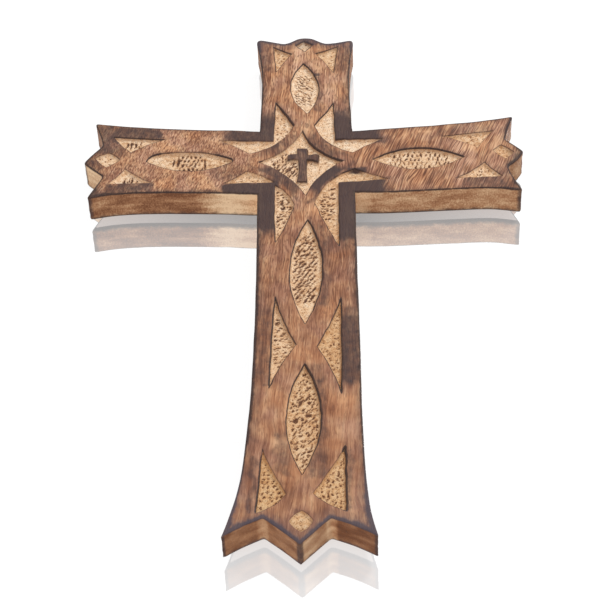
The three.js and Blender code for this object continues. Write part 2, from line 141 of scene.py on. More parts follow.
# The carved recesses. Each corner is (x, y, bow): bow is how far, in mm, the side that follows it
# swells outwards from the straight line to the next corner.
RECESSES = {
    "lens_top": [(1.3, 32.8, 6.2), (-0.8, 69.5, 6.7)],
    "lens_left": [(-69, 1.4, 0.4), (-66.6, 5.4, 0.5), (-58, 7.3, 0.3), (-45, 7, 0.4),
                  (-31.8, 2.4, 0.2), (-31.2, 0.3, 6.4)],
    "lens_right": [(30, 0, 7.2), (70, 0.5, 7)],
    "lens_shaft_upper": [(1.3, -102, 6.7), (2, -39, 7)],
    "lens_shaft_lower": [(0.8, -182.5, 6.9), (1.3, -124.5, 6.6)],
    "star": [(17.2, -0.7, -3.3), (-0.8, 20.6, -2.7), (-19.8, -0.5, -2.6), (1, -23.2, -2.5)],
    "corner_upper_left": [(-13, 41, 0.2), (-4.7, 24.7, 3.6), (-24, 5.6, -0.4),
                          (-37.5, 15, 0), (-13.7, 14, 0)],
    "corner_upper_right": [(12.9, 40, 0), (13.9, 14.3, 0), (35.5, 14.3, -0.5),
                           (21.5, 5, 3.4), (4.5, 24.5, -0.3)],
    "corner_lower_right": [(37.2, -13.4, -0.3), (22, -5.8, 3.3), (4.7, -27.5, 0.4),
                           (15.3, -56, 0), (15.2, -14.9, 0)],
    "corner_lower_left_arm": [(-34.8, -14.3, -0.3), (-25, -6.4, 1.1), (-12.5, -14.3, 0)],
    "corner_lower_left_shaft": [(-12.5, -15.8, 1.2), (-3.8, -29, 0.6), (-11.5, -52.8, 0.4)],
    "shaft_left": [(-11, -86, -0.7), (-2.2, -113.6, -0.9), (-12.5, -137.5, 0.3)],
    "shaft_right": [(15.8, -87, 0.2), (15.8, -141, -0.9), (6.2, -114.8, -0.6)],
    "foot_left": [(-14.3, -169.5, 0), (-16.3, -201, 1.2), (-5, -191.8, -0.4)],
    "foot_right": [(17.1, -168, 0), (17.4, -200.5, 1.2), (4.8, -191.5, -0.4)],
    "left_end_upper": [(-84.6, 18.8, 0.5), (-76.2, 7.9, -0.8), (-61.8, 16.3, 0)],
    "left_end_lower": [(-85.4, -13.2, 0), (-65.3, -12.9, -0.8), (-78, -3.1, -0.4)],
    "right_end_upper": [(60.6, 15, -0.7), (76.2, 6.7, -0.5), (83.6, 18.2, 0)],
    "right_end_lower": [(65.6, -13.6, 0), (86, -13, -0.3), (78.5, -3.2, -0.8)],
    "top_left": [(-14.8, 82.6, -0.3), (-6.2, 77, -0.3), (-13.2, 63.6, 0)],
    "top_right": [(15.2, 82.4, 0), (13, 62.3, -0.3), (4.7, 77, -0.3)],
    "diamond_left": [(-91.8, 4.4, 0.3), (-86.5, -1.9, 0.4), (-80.8, 3, 0.5), (-86, 8, 0.5)],
    "diamond_right": [(82.6, 4.5, 0.2), (88, -1.3, 0.2), (91.8, 3.2, 0.2), (86.3, 8.2, 0.2)],
    "diamond_top": [(-4.6, 83.8, 0.1), (-0.3, 78.8, 0.1), (3.6, 83.8, 0.1), (-0.6, 87.2, 0.1)],
    "diamond_foot": [(-4, -205, 0.6), (0.8, -210.2, 0.6), (5.2, -205, 0.6), (0.8, -199.8, 0.6)],
}

# How deep they are, by the start of their names
DEPTHS = {"diamond_top": 1.4, "diamond": 1, "left_end": 1.3, "right_end": 1.3, "top": 1.3,
          "foot": 1.4}
MAIN_DEPTH = 1.55

# The small cross that is left standing in the star, and the loops around its rim, by their insets
RELIEF = [
    (-2.8, -13.9), (1.4, -14.1), (1, -6), (1.2, 0.8), (3.6, 0.7), (6.1, -0.9), (6.3, 3.9),
    (5, 4.4), (1.4, 3.6), (1.4, 8.3), (-2.9, 8.4), (-2.6, 4.2), (-4.4, 4.6), (-6.9, 4),
    (-7, 0.9), (-4.6, 1.4), (-2.3, 1), (-1.9, -6),
]
RELIEF_LOOPS = [0.3, 0, -0.15, -0.35, -0.6]
# The strip that only these loops' points fill: its middle and half its width
RELIEF_STRIP = (-0.15, 0.62)
RELIEF_STEEPNESS = 1.25
RELIEF_BURN = 0.8

# A recess's wall: how deep it is, as a share, at each distance inwards from the rim
RIM_LIP = 0.35
RIM_REACH = 3
WALL_REACH = [-0.3, 0, 0.12, 0.3, 0.5, 0.85, 1.25]
WALL_DROP = [0, 0.06, 0.2, 0.5, 0.8, 0.97, 1]

# Shallow hollows left by sanding and by the gouge: height and pitch
SANDED = [(0.06, 14), (0.05, 5)]
GOUGED = [(0.14, 3.4), (0.08, 1.3)]
FRONT_LOWERED = 0.13
FLOOR_LOWERED = 0.1
SAWN_SWAY = 0.1
SAWN_PITCH = 6

# The eased edges: distance in from the outline and height below the front or above the back
FRONT_EDGE = [(0.5, 0), (0.3, 0.05), (0.14, 0.18), (0.04, 0.36), (0, 0.75)]
SIDE_HEIGHTS = [10.6, 8.9, 7.2, 5.5, 3.8, 2.6]
BACK_EDGE = [(0.08, 1.7), (0.25, 1.1), (0.5, 0.6), (0.85, 0.24), (1.25, 0)]

# From where to where, in mm inwards from a rim, the land's looks end and the floor's begin
BURN_ENDS = (0.35, 0.05)
TONE_ENDS = (0.3, -0.1)
PALE_BEGINS = (0, 0.3)
FLOOR_BEGINS = (0.45, 1.1)
RELIEF_BEGINS = (-0.5, -0.15)

# How aged a floor looks (1 the most yellowed) and how strong its rim's burnt line is, with the
# painted shade on its wall and beside its rim
FLOOR_LOOKS = {
    "lens_top": (-0.25, 1), "lens_left": (0.1, 1), "lens_right": (0.15, 0.9),
    "star": (0.05, 1), "corner_upper_left": (0.1, 1), "corner_upper_right": (-0.1, 1),
    "corner_lower_right": (0.35, 1), "corner_lower_left_arm": (0.25, 0.65),
    "corner_lower_left_shaft": (0.2, 1), "lens_shaft_upper": (0.25, 1),
    "lens_shaft_lower": (0.55, 1), "shaft_left": (0.3, 1), "shaft_right": (0.65, 1),
    "foot_left": (0.82, 0.9), "foot_right": (0.75, 0.9), "diamond_foot": (0.6, 0.45),
    "left_end_upper": (0, 1), "left_end_lower": (0, 0.55), "diamond_left": (0.1, 0.75),
    "right_end_upper": (0.2, 0.7), "right_end_lower": (0.1, 0.7), "diamond_right": (0.25, 0.75),
    "top_left": (0.35, 0.95), "top_right": (0.35, 0.9), "diamond_top": (0.1, 1.7),
}

# Where a floor is lighter or darker: x0, y0, x1, y1, softness, change
FLOOR_TONES = [
    (60, 5, 85, 19, 2, -0.12),
    (82, -2, 92, 8.5, 1, -0.14),
    (-62, -6, -36, 8, 2, -0.12),
    (65, -14, 86.5, -3, 1, -0.08),
    (-5, 78, 4, 88, 1, 0.2),
    (5, 6, 34, 36, 1, 0.15),
    (-7, 33, 7, 70, 1, 0.08),
    (-18, -201, 18, -168, 1, 0.17),
    (-69, -6, -58, 8, 3, 0.1),
]

# Where a rim's burnt line, and the painted shade on its wall and beside it, are weaker or stronger:
# x0, y0, x1, y1, softness, change
RIM_LOOKS = [
    (2, 0, 17, 15, 1, 0.5),
    (-20, 1, -1.5, 20, 1, -0.5),
    (-12, 25, -4, 37, 1, 0.5),
    (-38, 12, -14, 17, 1, -0.5),
    (14.8, 12, 36, 17, 1, -0.35),
    (4, -28, 20, -9.5, 1, -0.45),
    (-12.5, -30, -3, -16, 1, -0.45),
    (-10, -114, -1, -88, 1, -0.1),
    (5, -115, 14.5, -88, 1, -0.1),
    (-14, -193, -4, -171, 1, -0.4),
    (4, -192, 15.5, -171, 1, -0.4),
    (16.2, -201, 19, -169, 0.6, 0.8),
    (-18, -200, -15, -172, 0.6, 0.7),
    (-14, -136, -11.4, -90, 0.4, 0.6),
    (14.8, -140, 17, -88, 0.6, 0.3),
    (-60, -8, -33, -2.5, 1, 0.5),
    (-62, 5, -40, 9, 2, -0.35),
    (34, 2, 70, 9, 2, 0.2),
    (26.5, -14.5, 38, -8, 1, -0.5),
    (-24, -14, -12, -7, 1, -0.3),
    (-68, 4, -58, 9, 1, 0.2),
    (-48, 1, -31, 8, 1, 0.1),
    (4, -96, 10, -44, 1, 0.4),
    (2, -178, 10, -125, 1, 0.5),
]

# Where the flame has browned the land, and where shade is painted beside the shaft lenses: x0, y0,
# x1, y1, how softly it fades, strength
SCORCHED_AND_SHADED = [
    (-33.8, -22, -14, -15, 2.5, 1),
    (-20.5, -42, -11.6, -15, (1.5, 11), 1),
    (15, -22, 33.5, -13.6, (6, 1.5), 1),
    (14.2, -48, 23, -15, (1.5, 12), 1),
    (-31, 13.2, -14, 22, (8, 1.5), 0.9),
    (-27, 12.6, -14, 22, 1.5, 0.9),
    (-20.5, 14, -11.6, 28, (1.5, 13), 0.92),
    (14.2, 11.8, 30, 21.5, (10, 1.5), 1),
    (12.6, 15, 21.8, 30, (1.5, 12), 0.95),
    (16.8, 64, 22, 84, 4, 0.45),
    (-23, 66, -17.4, 88, 4, 0.45),
    (-24, 42, -19.2, 90, 3, 0.6),
    (19, 40, 24, 90, 2.6, 0.6),
    (-94, 7, -86, 28, 4, 0.72),
    (-84.5, 16.5, -64.5, 25.4, 1.8, 0.8),
    (-88, 7, -80, 14, 4, 0.5),
    (-96.5, -4, -90, 5, 3, 0.6),
    (-86, -18.5, -65.5, -13.4, 1.6, 0.72),
    (-94, -22, -38, -18.7, 1, 0.62),
    (-38, -22, -32, -19, 1, 0.4),
    (69.5, -19.6, 86, -13.8, 1.4, 0.52),
    (60, 17, 80, 23, 5, 0.3),
    (91.5, -2.5, 97, 2.8, 1.6, 0.8),
    (84, -21, 92, -10, 3, 0.4),
    (15.8, -128, 24, -98, (1.5, 12), 0.8),
    (15.6, -131, 18.4, -97, (2.6, 9), 0.88),
    (-20, -128, -12.6, -98, (1.5, 11), 0.42),
    # Painted shade beside the rims of the two shaft lenses
    (8.2, -88, 9.6, -45, 3.5, 0.42),
    (7.4, -165, 8.8, -132, 2.4, 0.5),
    (4, -135, 7, -126, 2, 0.35),
    (-8.5, -180, -4.5, -162, 3, 0.42),
    (5, -182, 9, -168, 3, 0.42),
    (19.5, -8.4, 27, -5.6, 0.9, 0.9),
    (-38, -9.5, -29, -4, 5, 0.3),
    (5.2, 58.6, 6.4, 59.2, 0.4, 0.7),
    (-15, -136.2, -13, -135.4, 0.4, 0.5),
    (-13.6, -123.6, -12.4, -122.8, 0.4, 0.6),
    (17.6, -201, 19, -172, 1.6, 0.5),
    (-18.2, -201, -16.6, -174, 1.4, 0.5),
    (-4.5, 84, 4.5, 90, 1, 0.8),
    (-20, -130, -18.3, -45, 1, 0.7),
    (3.2, 60, 6.4, 61.8, 0.8, 0.9),
    (-0.6, -200, 2.6, -198.9, 1.6, 0.3),
    (4.2, 36, 6.4, 50, 1.5, 0.45),
]
# How far the borders of these patches wander across and along, and over what length
PATCH_WANDER = [(1.6, 5), (2.2, 6)]
# One long spot of it reaches into the lower right corner piece: its centre and half sizes
FLAME_SPOT = (23.2, -6.6, 3.8, 1.4)
# Where it left the wood pale, or rubbed it back
PALE_PATCHES = [
    (-4, 66, 4, 80, 4, 0.45),
    (8, 44, 13, 58, 5, 0.45),
    (-5, 18, 3, 32, 2, 0.4),
    (-72, -18, -38, -9, 5, 0.25),
    (-64.5, 10, -55, 21, 3, 0.3),
    (-38.5, 14, -36.5, 17, 1.5, 0.6),
    (51, 12, 56.5, 18.5, 1, 0.55),
    (58, 15, 62, 20, 4, 0.35),
    (68, -10, 92, 22, 6, 0.5),
    (62, -8, 74, 10, 5, 0.45),
    (-8, -36, 6, -30, 4, 0.3),
    (10, -100, 16, -60, 3, 0.15),
    (14, -160, 22, -138, 6, 0.3),
    (-19, -165, -9, -140, 6, 0.25),
    (18, -206, 24, -186, 4, 0.45),
    (-24, -206, -18, -194, 4, 0.35),
    (-4, -130, 4, -104, 3, 0.2),
]
# Where it stayed duller
DULL_PATCHES = [
    (10, -86, 23, -56, 4, 0.32),
    (40, 6.5, 62, 11, 3, 0.3),
    (60, 9, 66, 20, 3, 0.2),
]
# Where the sawn sides are lighter or darker
SIDE_TONES = [
    (-33, -23, -19, -18, 16, 0.52),
    (-75, -24, -45, -18, 12, -0.02),
    (-99, -9, -87.5, 2, 2, 0.42),
    (22, -24, 95, -18, 2, 0.2),
    (22, -24, 26, -18, 4, 0.15),
    (60, -24, 95, -18, 6, -0.045),
    (87, -9, 98, 3.5, 2, 0.12),
    # The foot's two notches: painted highlights
    (-14.8, -206.5, -12.4, -201, 1.4, 0.2),
    (10.6, -206.5, 13.2, -201, 1.2, 0.24),
    (2, -216, 10, -204, 2, 0.22),
    (15, -216, 30, -204, 3, -0.12),
]

# The bands round the star: which way they lie from its centre, and how brown they are
STAR_BANDS = [(-1, 1, 0.42), (1, 1, 0.58), (-1, -1, 0.74), (1, -1, 0.95)]
STAR_BAND_WIDTH = 5.2
# They begin beside the star's axes, and end at its tips
BAND_BEGINS = (-1, 2.5)
TIP_ENDS = (2, 6.5)

# The burnt line along the board's edge: its width in mm, and where it is how much wider
EDGE_WIDTH = 1
WIDER_EDGES = [
    (-40, -220, 40, -202, 12, 1),
    (-30, 82, 30, 92, 5, 1.5),
    (30, -24, 88, -18, 3, -0.3),
    (89.5, -4, 97, 3.5, 2.5, 1.3),
    (-98, 0.5, -88, 14, 1, 0.6),
    (-96, -24, -84, -17, 2, 1.6),
    (-34, -216, -23, -206, 4, 1),
    (24, -216, 34, -190, 8, 0.9),
    (86, -24, 96, -18, 3, 0.9),
    (-22, -165, -17, -48, 3, 0.7),
    (18, -90, 24, -52, 3, 0.4),
]
SIDE_LINE = 0.55
BACK_LINE = (0.1, 2)
SHARP_CORNER_BURN = 0.8
# How far round the outline turns where that burn begins, and where it is full
SHARP_TURN = (0.2, 0.7)
# From where to where below the front the land ends and the sawn side begins
SIDE_BEGINS = (0.2, 0.6)

# How each floor was worked: pitch across and along, long and short radius of a mark, its angle,
# scatter, share kept, force, and the box x0, y0, x1, y1 outside which the marks are few
PITS = {
    "lens_top": (1.7, 1.2, 0.95, 0.27, -38, 0.25, 0.95, 1, (-4.2, 39, 3, 60)),
    "lens_left": (1.95, 2.9, 1.4, 0.5, 86, 0.12, 0.97, 1, (-54.5, -5, -44.5, 6)),
    "lens_right": (1.95, 2.75, 1.3, 0.42, 84, 0.16, 0.95, 1, (37.5, -6, 64, 5.5)),
    "lens_shaft_upper": (2.05, 1.85, 1.15, 0.52, 48, 0.2, 0.97, 1, (-4, -90, 5.5, -49)),
    "lens_shaft_lower": (1.6, 1.5, 0.8, 0.4, 58, 0.55, 0.9, 0.98, (-4.5, -181, 6.5, -130)),
    "star": (1.55, 1.9, 1.05, 0.4, 68, 0.28, 0.95, 1, (-15, -11.5, -2.5, 4.5)),
    "corner_upper_left": (1.6, 1.6, 0.5, 0.34, 60, 0.5, 0.75, 0.8, (-14, 14, -6, 38)),
    "corner_upper_right": (1.6, 1.6, 0.5, 0.33, 40, 0.5, 0.8, 0.45, (5, 6, 34, 36)),
    "corner_lower_right": (1.6, 1.6, 0.7, 0.42, 20, 0.45, 0.95, 1, (6.5, -40, 13, -18)),
    "corner_lower_left_arm": (1.7, 1.6, 0.6, 0.4, 30, 0.5, 0.7, 0.6, (-33, -14, -16, -8)),
    "corner_lower_left_shaft": (1.7, 1.5, 0.7, 0.42, 25, 0.4, 0.95, 1, (-12.5, -52, -4, -18)),
    "shaft_left": (1.8, 1.7, 0.85, 0.38, 15, 0.4, 0.9, 0.95, (-12, -126, -3, -99)),
    "shaft_right": (1.5, 1.5, 0.6, 0.36, 60, 0.5, 0.85, 0.75, (7, -138, 16, -94)),
    "foot_left": (1.5, 1.5, 0.6, 0.42, 40, 0.5, 0.85, 0.95, (-16.5, -200, -6, -176)),
    "foot_right": (1.5, 1.5, 0.6, 0.42, 70, 0.5, 0.85, 0.95, (6, -200, 17, -174)),
    "left_end_upper": (1.9, 2.4, 1.15, 0.38, 86, 0.2, 0.9, 0.95, (-79.5, 10, -71.5, 15.5)),
    "left_end_lower": (1.9, 2.4, 0.95, 0.38, 86, 0.25, 0.9, 0.95, (-79, -13, -73, -8.5)),
    "right_end_upper": (1.8, 1.8, 0.6, 0.38, 70, 0.45, 0.8, 0.7, (70, 8, 83, 16)),
    "right_end_lower": (1.8, 1.8, 0.6, 0.38, 70, 0.45, 0.8, 0.8, (72, -13, 85, -5)),
    "top_left": (1.7, 1.7, 0.55, 0.38, 60, 0.5, 0.7, 0.7, (-14, 66, -7, 80)),
    "top_right": (1.8, 1.8, 0.55, 0.38, 60, 0.5, 0.5, 0.7, (5, 66, 14, 80)),
}
PITS_ELSEWHERE = (2.2, 2.2, 0.5, 0.4, 60, 0.6, 0.4, 0.7, (-200, -300, 200, 200))
FEW_PITS = 0.28
PIT_DEPTH = 0.5
PIT_SIZES = (0.65, 1.35)
PIT_FORCES = (0.55, 1)
PIT_TILT = 12
PIT_REACH = 4
PIT_WANDER = (0.28, 0.9)
# Where the marks are few, they are also smaller and weaker
FEW_PITS_SIZE = 0.7
FEW_PITS_FORCE = 0.6
# Longer slits: x, y, long and short radius, angle, force
SLITS = {
    "lens_left": [(-57.2, 0.4, 2.4, 0.42, 84, 1), (-55.1, 0.6, 3, 0.55, 88, 1),
                  (-43.4, -1, 3.4, 0.4, 94, 0.95), (-53, -1.6, 1.6, 0.5, 60, 0.9)],
    "left_end_upper": [(-74.6, 13, 1.7, 0.45, 98, 1), (-76.6, 13.2, 1.7, 0.42, 88, 1),
                       (-78.2, 13.2, 1.7, 0.4, 80, 0.9)],
    "left_end_lower": [(-77.8, -11.6, 1.4, 0.42, 92, 1), (-76, -11.4, 1, 0.4, 88, 0.9),
                       (-74.7, -11.2, 1.3, 0.42, 82, 1)],
    "lens_shaft_lower": [(2.9, -152.2, 1.3, 0.9, 0, 1), (-2, -154.8, 1.4, 0.9, 60, 1),
                         (0, -146, 2.4, 0.5, 62, 0.9), (2.4, -143.5, 2.6, 0.45, 55, 0.9)],
    "corner_lower_left_shaft": [(-9.2, -27.6, 1.6, 0.5, 80, 1), (-8.6, -31, 1.5, 0.5, 60, 1)],
    "star": [(-5.2, -4.2, 1.5, 0.5, 62, 1), (-7, -6.4, 1.5, 0.5, 60, 1),
             (-4.6, -7.6, 1.4, 0.5, 66, 0.9)],
}
# How much lower on the picture a floor's marks are seen than the land's, for each mm of depth
SEEN_LOWER = 1.05

# The side where the recesses' walls lie in shade, towards the upper right. There the material paints
# shade: wider burnt lines along the rims, a brown tint on the walls and a soft brown border beside
# the rims
SHADED_WAY = (0.55, 0.84)
SHADED_GAIN = 1.3


# Noise and loops

def smooth_noise(x, y, pitch, seed):
    """A soft random surface between -1 and 1, with hills about one pitch apart."""
    size = LATTICE_SIZE
    lattice = np.random.default_rng(seed).uniform(-1, 1, (size, size))
    u, v = x / pitch + LATTICE_SHIFT[0], y / pitch + LATTICE_SHIFT[1]
    i, j = np.floor(u).astype(int), np.floor(v).astype(int)
    fu, fv = u - i, v - j
    fu, fv = fu * fu * (3 - 2 * fu), fv * fv * (3 - 2 * fv)
    i0, i1, j0, j1 = i % size, (i + 1) % size, j % size, (j + 1) % size
    low = lattice[i0, j0] * (1 - fu) + lattice[i1, j0] * fu
    high = lattice[i0, j1] * (1 - fu) + lattice[i1, j1] * fu
    return low * (1 - fv) + high * fv


def hollows(x, y, waves, seed):
    """Soft random waves on top of each other, each with its height and pitch."""
    return sum(height * smooth_noise(x, y, pitch, seed + k)
               for k, (height, pitch) in enumerate(waves))


def smooth_step(low, high, value):
    """Rises from 0 to 1 between low and high, or falls where low is the greater."""
    t = np.clip((value - low) / (high - low), 0, 1)
    return t * t * (3 - 2 * t)


def resampled(points, step):
    """The polyline's points at an even step, without its last point."""
    points = np.asarray(points, float)
    lengths = np.linalg.norm(np.diff(points, axis=0), axis=1)
    along = np.concatenate([[0], np.cumsum(lengths)])
    count = max(int(round(along[-1] / step)), 2)
    places = np.linspace(0, along[-1], count + 1)[:-1]
    return np.stack([np.interp(places, along, points[:, k]) for k in (0, 1)], axis=1)


def spline(points, fine=24):
    """A Catmull-Rom line through the points."""
    p = np.asarray(points, float)
    p = np.vstack([2 * p[0] - p[1], p, 2 * p[-1] - p[-2]])
    out = []
    for k in range(1, len(p) - 2):
        gap = [max(np.linalg.norm(p[i + 1] - p[i]), 1e-6) for i in (k - 1, k, k + 1)]
        start = ((p[k] - p[k - 1]) / gap[0] + (p[k + 1] - p[k]) / gap[1]) / 2 * gap[1]
        end = ((p[k + 1] - p[k]) / gap[1] + (p[k + 2] - p[k + 1]) / gap[2]) / 2 * gap[1]
        t = np.linspace(0, 1, fine, endpoint=False)[:, None]
        out.append((2 * t**3 - 3 * t**2 + 1) * p[k] + (t**3 - 2 * t**2 + t) * start
                   + (3 * t**2 - 2 * t**3) * p[k + 1] + (t**3 - t**2) * end)
    out.append(p[-2:-1])
    return np.vstack(out)


def signed_area(loop):
    x, y = loop[:, 0], loop[:, 1]
    return 0.5 * float(np.sum(x * np.roll(y, -1) - y * np.roll(x, -1)))


def snapped(loop):
    """On a grid of 1/1024 mm, which single precision holds exactly, so that shared loops match."""
    return np.round(np.asarray(loop) * 1024) / 1024


def counter_clockwise(loop):
    return loop if signed_area(loop) > 0 else loop[::-1].copy()


def inward_normals(loop, stretch="all"):
    """For a counter-clockwise loop: unit normals into it. At the corners they are lengthened, so
    that both sides move by the same amount: at all of them, the convex ones or the reflex ones."""
    edge = np.roll(loop, -1, axis=0) - loop
    edge /= np.linalg.norm(edge, axis=1)[:, None]
    normal = np.stack([-edge[:, 1], edge[:, 0]], axis=1)
    before = np.roll(edge, 1, axis=0)
    both = normal + np.roll(normal, 1, axis=0)
    both /= np.maximum(np.linalg.norm(both, axis=1)[:, None], TINY)
    lean = np.maximum(np.sum(both * normal, axis=1), LEAST_LEAN)
    turn = before[:, 0] * edge[:, 1] - before[:, 1] * edge[:, 0]
    chosen = {"all": np.full(len(loop), True), "convex": turn > 0, "reflex": turn < 0,
              "none": np.full(len(loop), False)}
    return both / np.where(chosen[stretch], lean, 1)[:, None]


def fence(loop):
    """A search tree of the closed loop's sides."""
    count = len(loop)
    low = [(x, y, -1.0) for x, y in loop]
    high = [(x, y, 1.0) for x, y in loop]
    sides = [(k, (k + 1) % count, (k + 1) % count + count, k + count) for k in range(count)]
    return BVHTree.FromPolygons(low + high, sides)


def loop_distance(points, loop):
    """The distance of each point from the closed loop."""
    tree = fence(loop)
    return np.array([tree.find_nearest((x, y, 0.0))[3] for x, y in points])


def wall_shade(points, loop):
    """How far the wall nearest to each point lies to the shaded side, from 0 to 1."""
    tree = fence(loop)
    near = np.array([tree.find_nearest((x, y, 0.0))[0][:2] for x, y in points])
    away = near - points
    away /= np.maximum(np.linalg.norm(away, axis=1), 1e-6)[:, None]
    away[~inside(points, loop)] *= -1
    return np.clip(away @ np.array(SHADED_WAY) * SHADED_GAIN, 0, 1)


def inside(points, loop):
    """Which points lie inside the closed loop."""
    x, y = points[:, 0], points[:, 1]
    result = np.zeros(len(points), bool)
    for (ax, ay), (bx, by) in zip(loop, np.roll(loop, -1, axis=0)):
        if ay == by:
            continue
        crosses = (ay > y) != (by > y)
        result ^= crosses & (x < (bx - ax) * (y - ay) / (by - ay) + ax)
    return result


def depth_inside(points, loop):
    """How far inside the loop each point lies, below 0 outside it."""
    distance = loop_distance(points, loop)
    return np.where(inside(points, loop), distance, -distance)


def wobbled(loop, amount, pitch, seed, corners=()):
    """Moves a loop a little in and out, as a hand-held tool does, but less near its corners."""
    shift = amount * smooth_noise(loop[:, 0], loop[:, 1], pitch, seed)
    for corner in corners:
        shift *= smooth_step(*CORNER_CALM, np.linalg.norm(loop - np.array(corner[:2]), axis=1))
    return loop + inward_normals(loop, "none") * shift[:, None]


def eased(loop, pinned, rounds):
    """The loop with its corners rounded a little more in each round, but not where it is pinned."""
    for _ in range(rounds):
        middle = (np.roll(loop, 1, axis=0) + np.roll(loop, -1, axis=0)) / 2
        loop = np.where(pinned[:, None], loop, 0.5 * loop + 0.5 * middle)
    return loop


def outline_loop():
    """The sawn outline, and which of its points stay put at the inner corners."""
    starts = [side[-1] for side in OUTLINE[-1:] + OUTLINE[:-1]]
    sides = [resampled(spline([start] + side), OUTLINE_STEP)
             for start, side in zip(starts, OUTLINE)]
    loop = counter_clockwise(np.vstack(sides))
    pinned = np.zeros(len(loop), bool)
    for corner in (CORNER_UR, CORNER_LR, CORNER_UL, CORNER_LL):
        pinned |= np.linalg.norm(loop - np.array(corner), axis=1) < CORNER_HOLD
    loop = eased(loop, pinned, 1)
    loop = eased(loop, pinned | (loop[:, 1] < CRISP_BELOW), 4)
    moved = wobbled(loop, *OUTLINE_WOBBLE, seed=11)
    return np.where(pinned[:, None], loop, moved), pinned


def bowed_loop(corners, step):
    """A closed loop of arcs: a corner's third number is the swell of the side after it."""
    points = np.array([corner[:2] for corner in corners], float)
    bows = [corner[2] if len(corner) > 2 else 0 for corner in corners]
    turn = np.sign(signed_area(points)) if len(points) > 2 else 1.0
    out = []
    for k, bow in enumerate(bows):
        a, b = points[k], points[(k + 1) % len(points)]
        t = np.linspace(0, 1, 33)[:, None]
        across = np.array([b[1] - a[1], a[0] - b[0]]) / np.linalg.norm(b - a) * turn
        out.append(resampled(a + (b - a) * t + across * bow * 4 * t * (1 - t), step))
    return counter_clockwise(np.vstack(out))


def inset(loop, distance):
    """The loop moved in by the distance (out, if it is negative), less what would cross itself."""
    if not distance:
        return loop
    normals = inward_normals(loop, "convex" if distance > 0 else "reflex")
    moved = snapped(loop + normals * distance)
    return moved[loop_distance(moved, loop) > CLEAR_SHARE * abs(distance)]


def moved_in(loop, distance, pinned):
    """The loop moved in by the distance, with as many points as before. Those that would cross
    over at a sharp corner fall together with the nearest one that stays clear."""
    moved = snapped(loop + inward_normals(loop) * distance)
    clear = (loop_distance(moved, loop) > CLEAR_SHARE * distance) | pinned
    places = np.flatnonzero(clear)
    around = np.concatenate([places - len(loop), places, places + len(loop)])
    nearest = around[np.argmin(np.abs(np.arange(len(loop))[:, None] - around[None]), axis=1)]
    return moved[nearest % len(loop)]


def without_repeats(loop):
    return loop[np.any(loop != np.roll(loop, 1, axis=0), axis=1)]


# Triangles and faces

def grid(loop, step, seed):
    """Points inside the loop's box, a step apart and slightly scattered."""
    low, high = loop.min(axis=0), loop.max(axis=0)
    x = np.arange(low[0], high[0] + step, step)
    y = np.arange(low[1], high[1] + step, step * ROW_PITCH)
    xx, yy = np.meshgrid(x, y)
    xx[1::2] += step / 2
    points = np.stack([xx.ravel(), yy.ravel()], axis=1)
    return points + np.random.default_rng(seed).uniform(-SCATTER, SCATTER, points.shape) * step


def triangulated(points, loops):
    """Delaunay triangles of the points that keep every loop's sides as edges."""
    start = len(points)
    edges = []
    for loop in loops:
        count = len(loop)
        edges += [(start + k, start + (k + 1) % count) for k in range(count)]
        start += count
    vectors = [Vector((float(x), float(y))) for x, y in np.vstack([points, *loops])]
    flat, _, faces, *_ = delaunay_2d_cdt(vectors, edges, [], 0, 1e-7, False)
    flat = np.array([(v.x, v.y) for v in flat])
    faces = np.array([face for face in faces if len(face) == 3], int)
    a, b, c = flat[faces[:, 0]], flat[faces[:, 1]], flat[faces[:, 2]]
    area = (b[:, 0] - a[:, 0]) * (c[:, 1] - a[:, 1]) - (b[:, 1] - a[:, 1]) * (c[:, 0] - a[:, 0])
    faces, area = faces[np.abs(area) > TINY], area[np.abs(area) > TINY]
    faces[area < 0] = faces[area < 0][:, ::-1]
    return flat, faces


def filled(points, border, holes=(), creases=()):
    """Triangles of the points that fill the border, less the holes, with edges along the creases."""
    flat, faces = triangulated(points, [border, *holes, *creases])
    centres = flat[faces].mean(axis=1)
    keep = inside(centres, border)
    for hole in holes:
        keep &= ~inside(centres, hole)
    return flat, faces[keep]


def band(count, first, second):
    """The faces between two loops of count points, which start at those two numbers."""
    ids = np.arange(count)
    after = (ids + 1) % count
    return np.stack([ids + first, after + first, after + second, ids + second], axis=1)


def new_mesh(name, rows, faces):
    """A mesh of points given in mm."""
    mesh = bpy.data.meshes.new(name)
    mesh.from_pydata((np.asarray(rows) * MM).tolist(), [], faces)
    return mesh


class Skin:
    """Collects vertices, with their attributes, and faces, and joins vertices that coincide."""

    # Rim is the distance from the nearest recess's rim in mm, below 0 inside it. Edge is that
    # from the board's edge, as a share of the burnt line's width there. The others are shares.
    DEFAULTS = {"rim": RIM_REACH, "edge": 9, "shade": 0, "line": 1, "burn": 0, "pale": 0,
                "pit": 0, "aged": 0, "side": 0, "tone": 0, "back": 0}

    def __init__(self):
        self.points, self.values, self.faces, self.count = [], [], [], 0

    def add(self, points, faces, **values):
        columns = [np.broadcast_to(np.asarray(values.get(name, usual), float), len(points))
                   for name, usual in self.DEFAULTS.items()]
        self.points.append(points)
        self.values.append(np.stack(columns, axis=1))
        self.faces.append(np.asarray(faces) + self.count)
        self.count += len(points)

    def mesh(self, name):
        points, values = np.vstack(self.points), np.vstack(self.values)
        _, first, which = np.unique(np.round(points, 4), axis=0, return_index=True,
                                    return_inverse=True)
        which = which.ravel()
        faces = []
        for block in self.faces:
            for ids in which[block].tolist():
                ids = list(dict.fromkeys(ids))
                if len(ids) > 2:
                    faces.append(ids)
        mesh = new_mesh(name, points[first] + (0, CROSSING_Y, 0), faces)
        for k, attribute in enumerate(self.DEFAULTS):
            layer = mesh.attributes.new(attribute, "FLOAT", "POINT")
            layer.data.foreach_set("value", values[first, k].astype(np.float32))
        return mesh


def lifted(flat, z):
    return np.column_stack([flat, np.broadcast_to(z, len(flat))])


# Looks: how burnt, aged, worked and light each point is

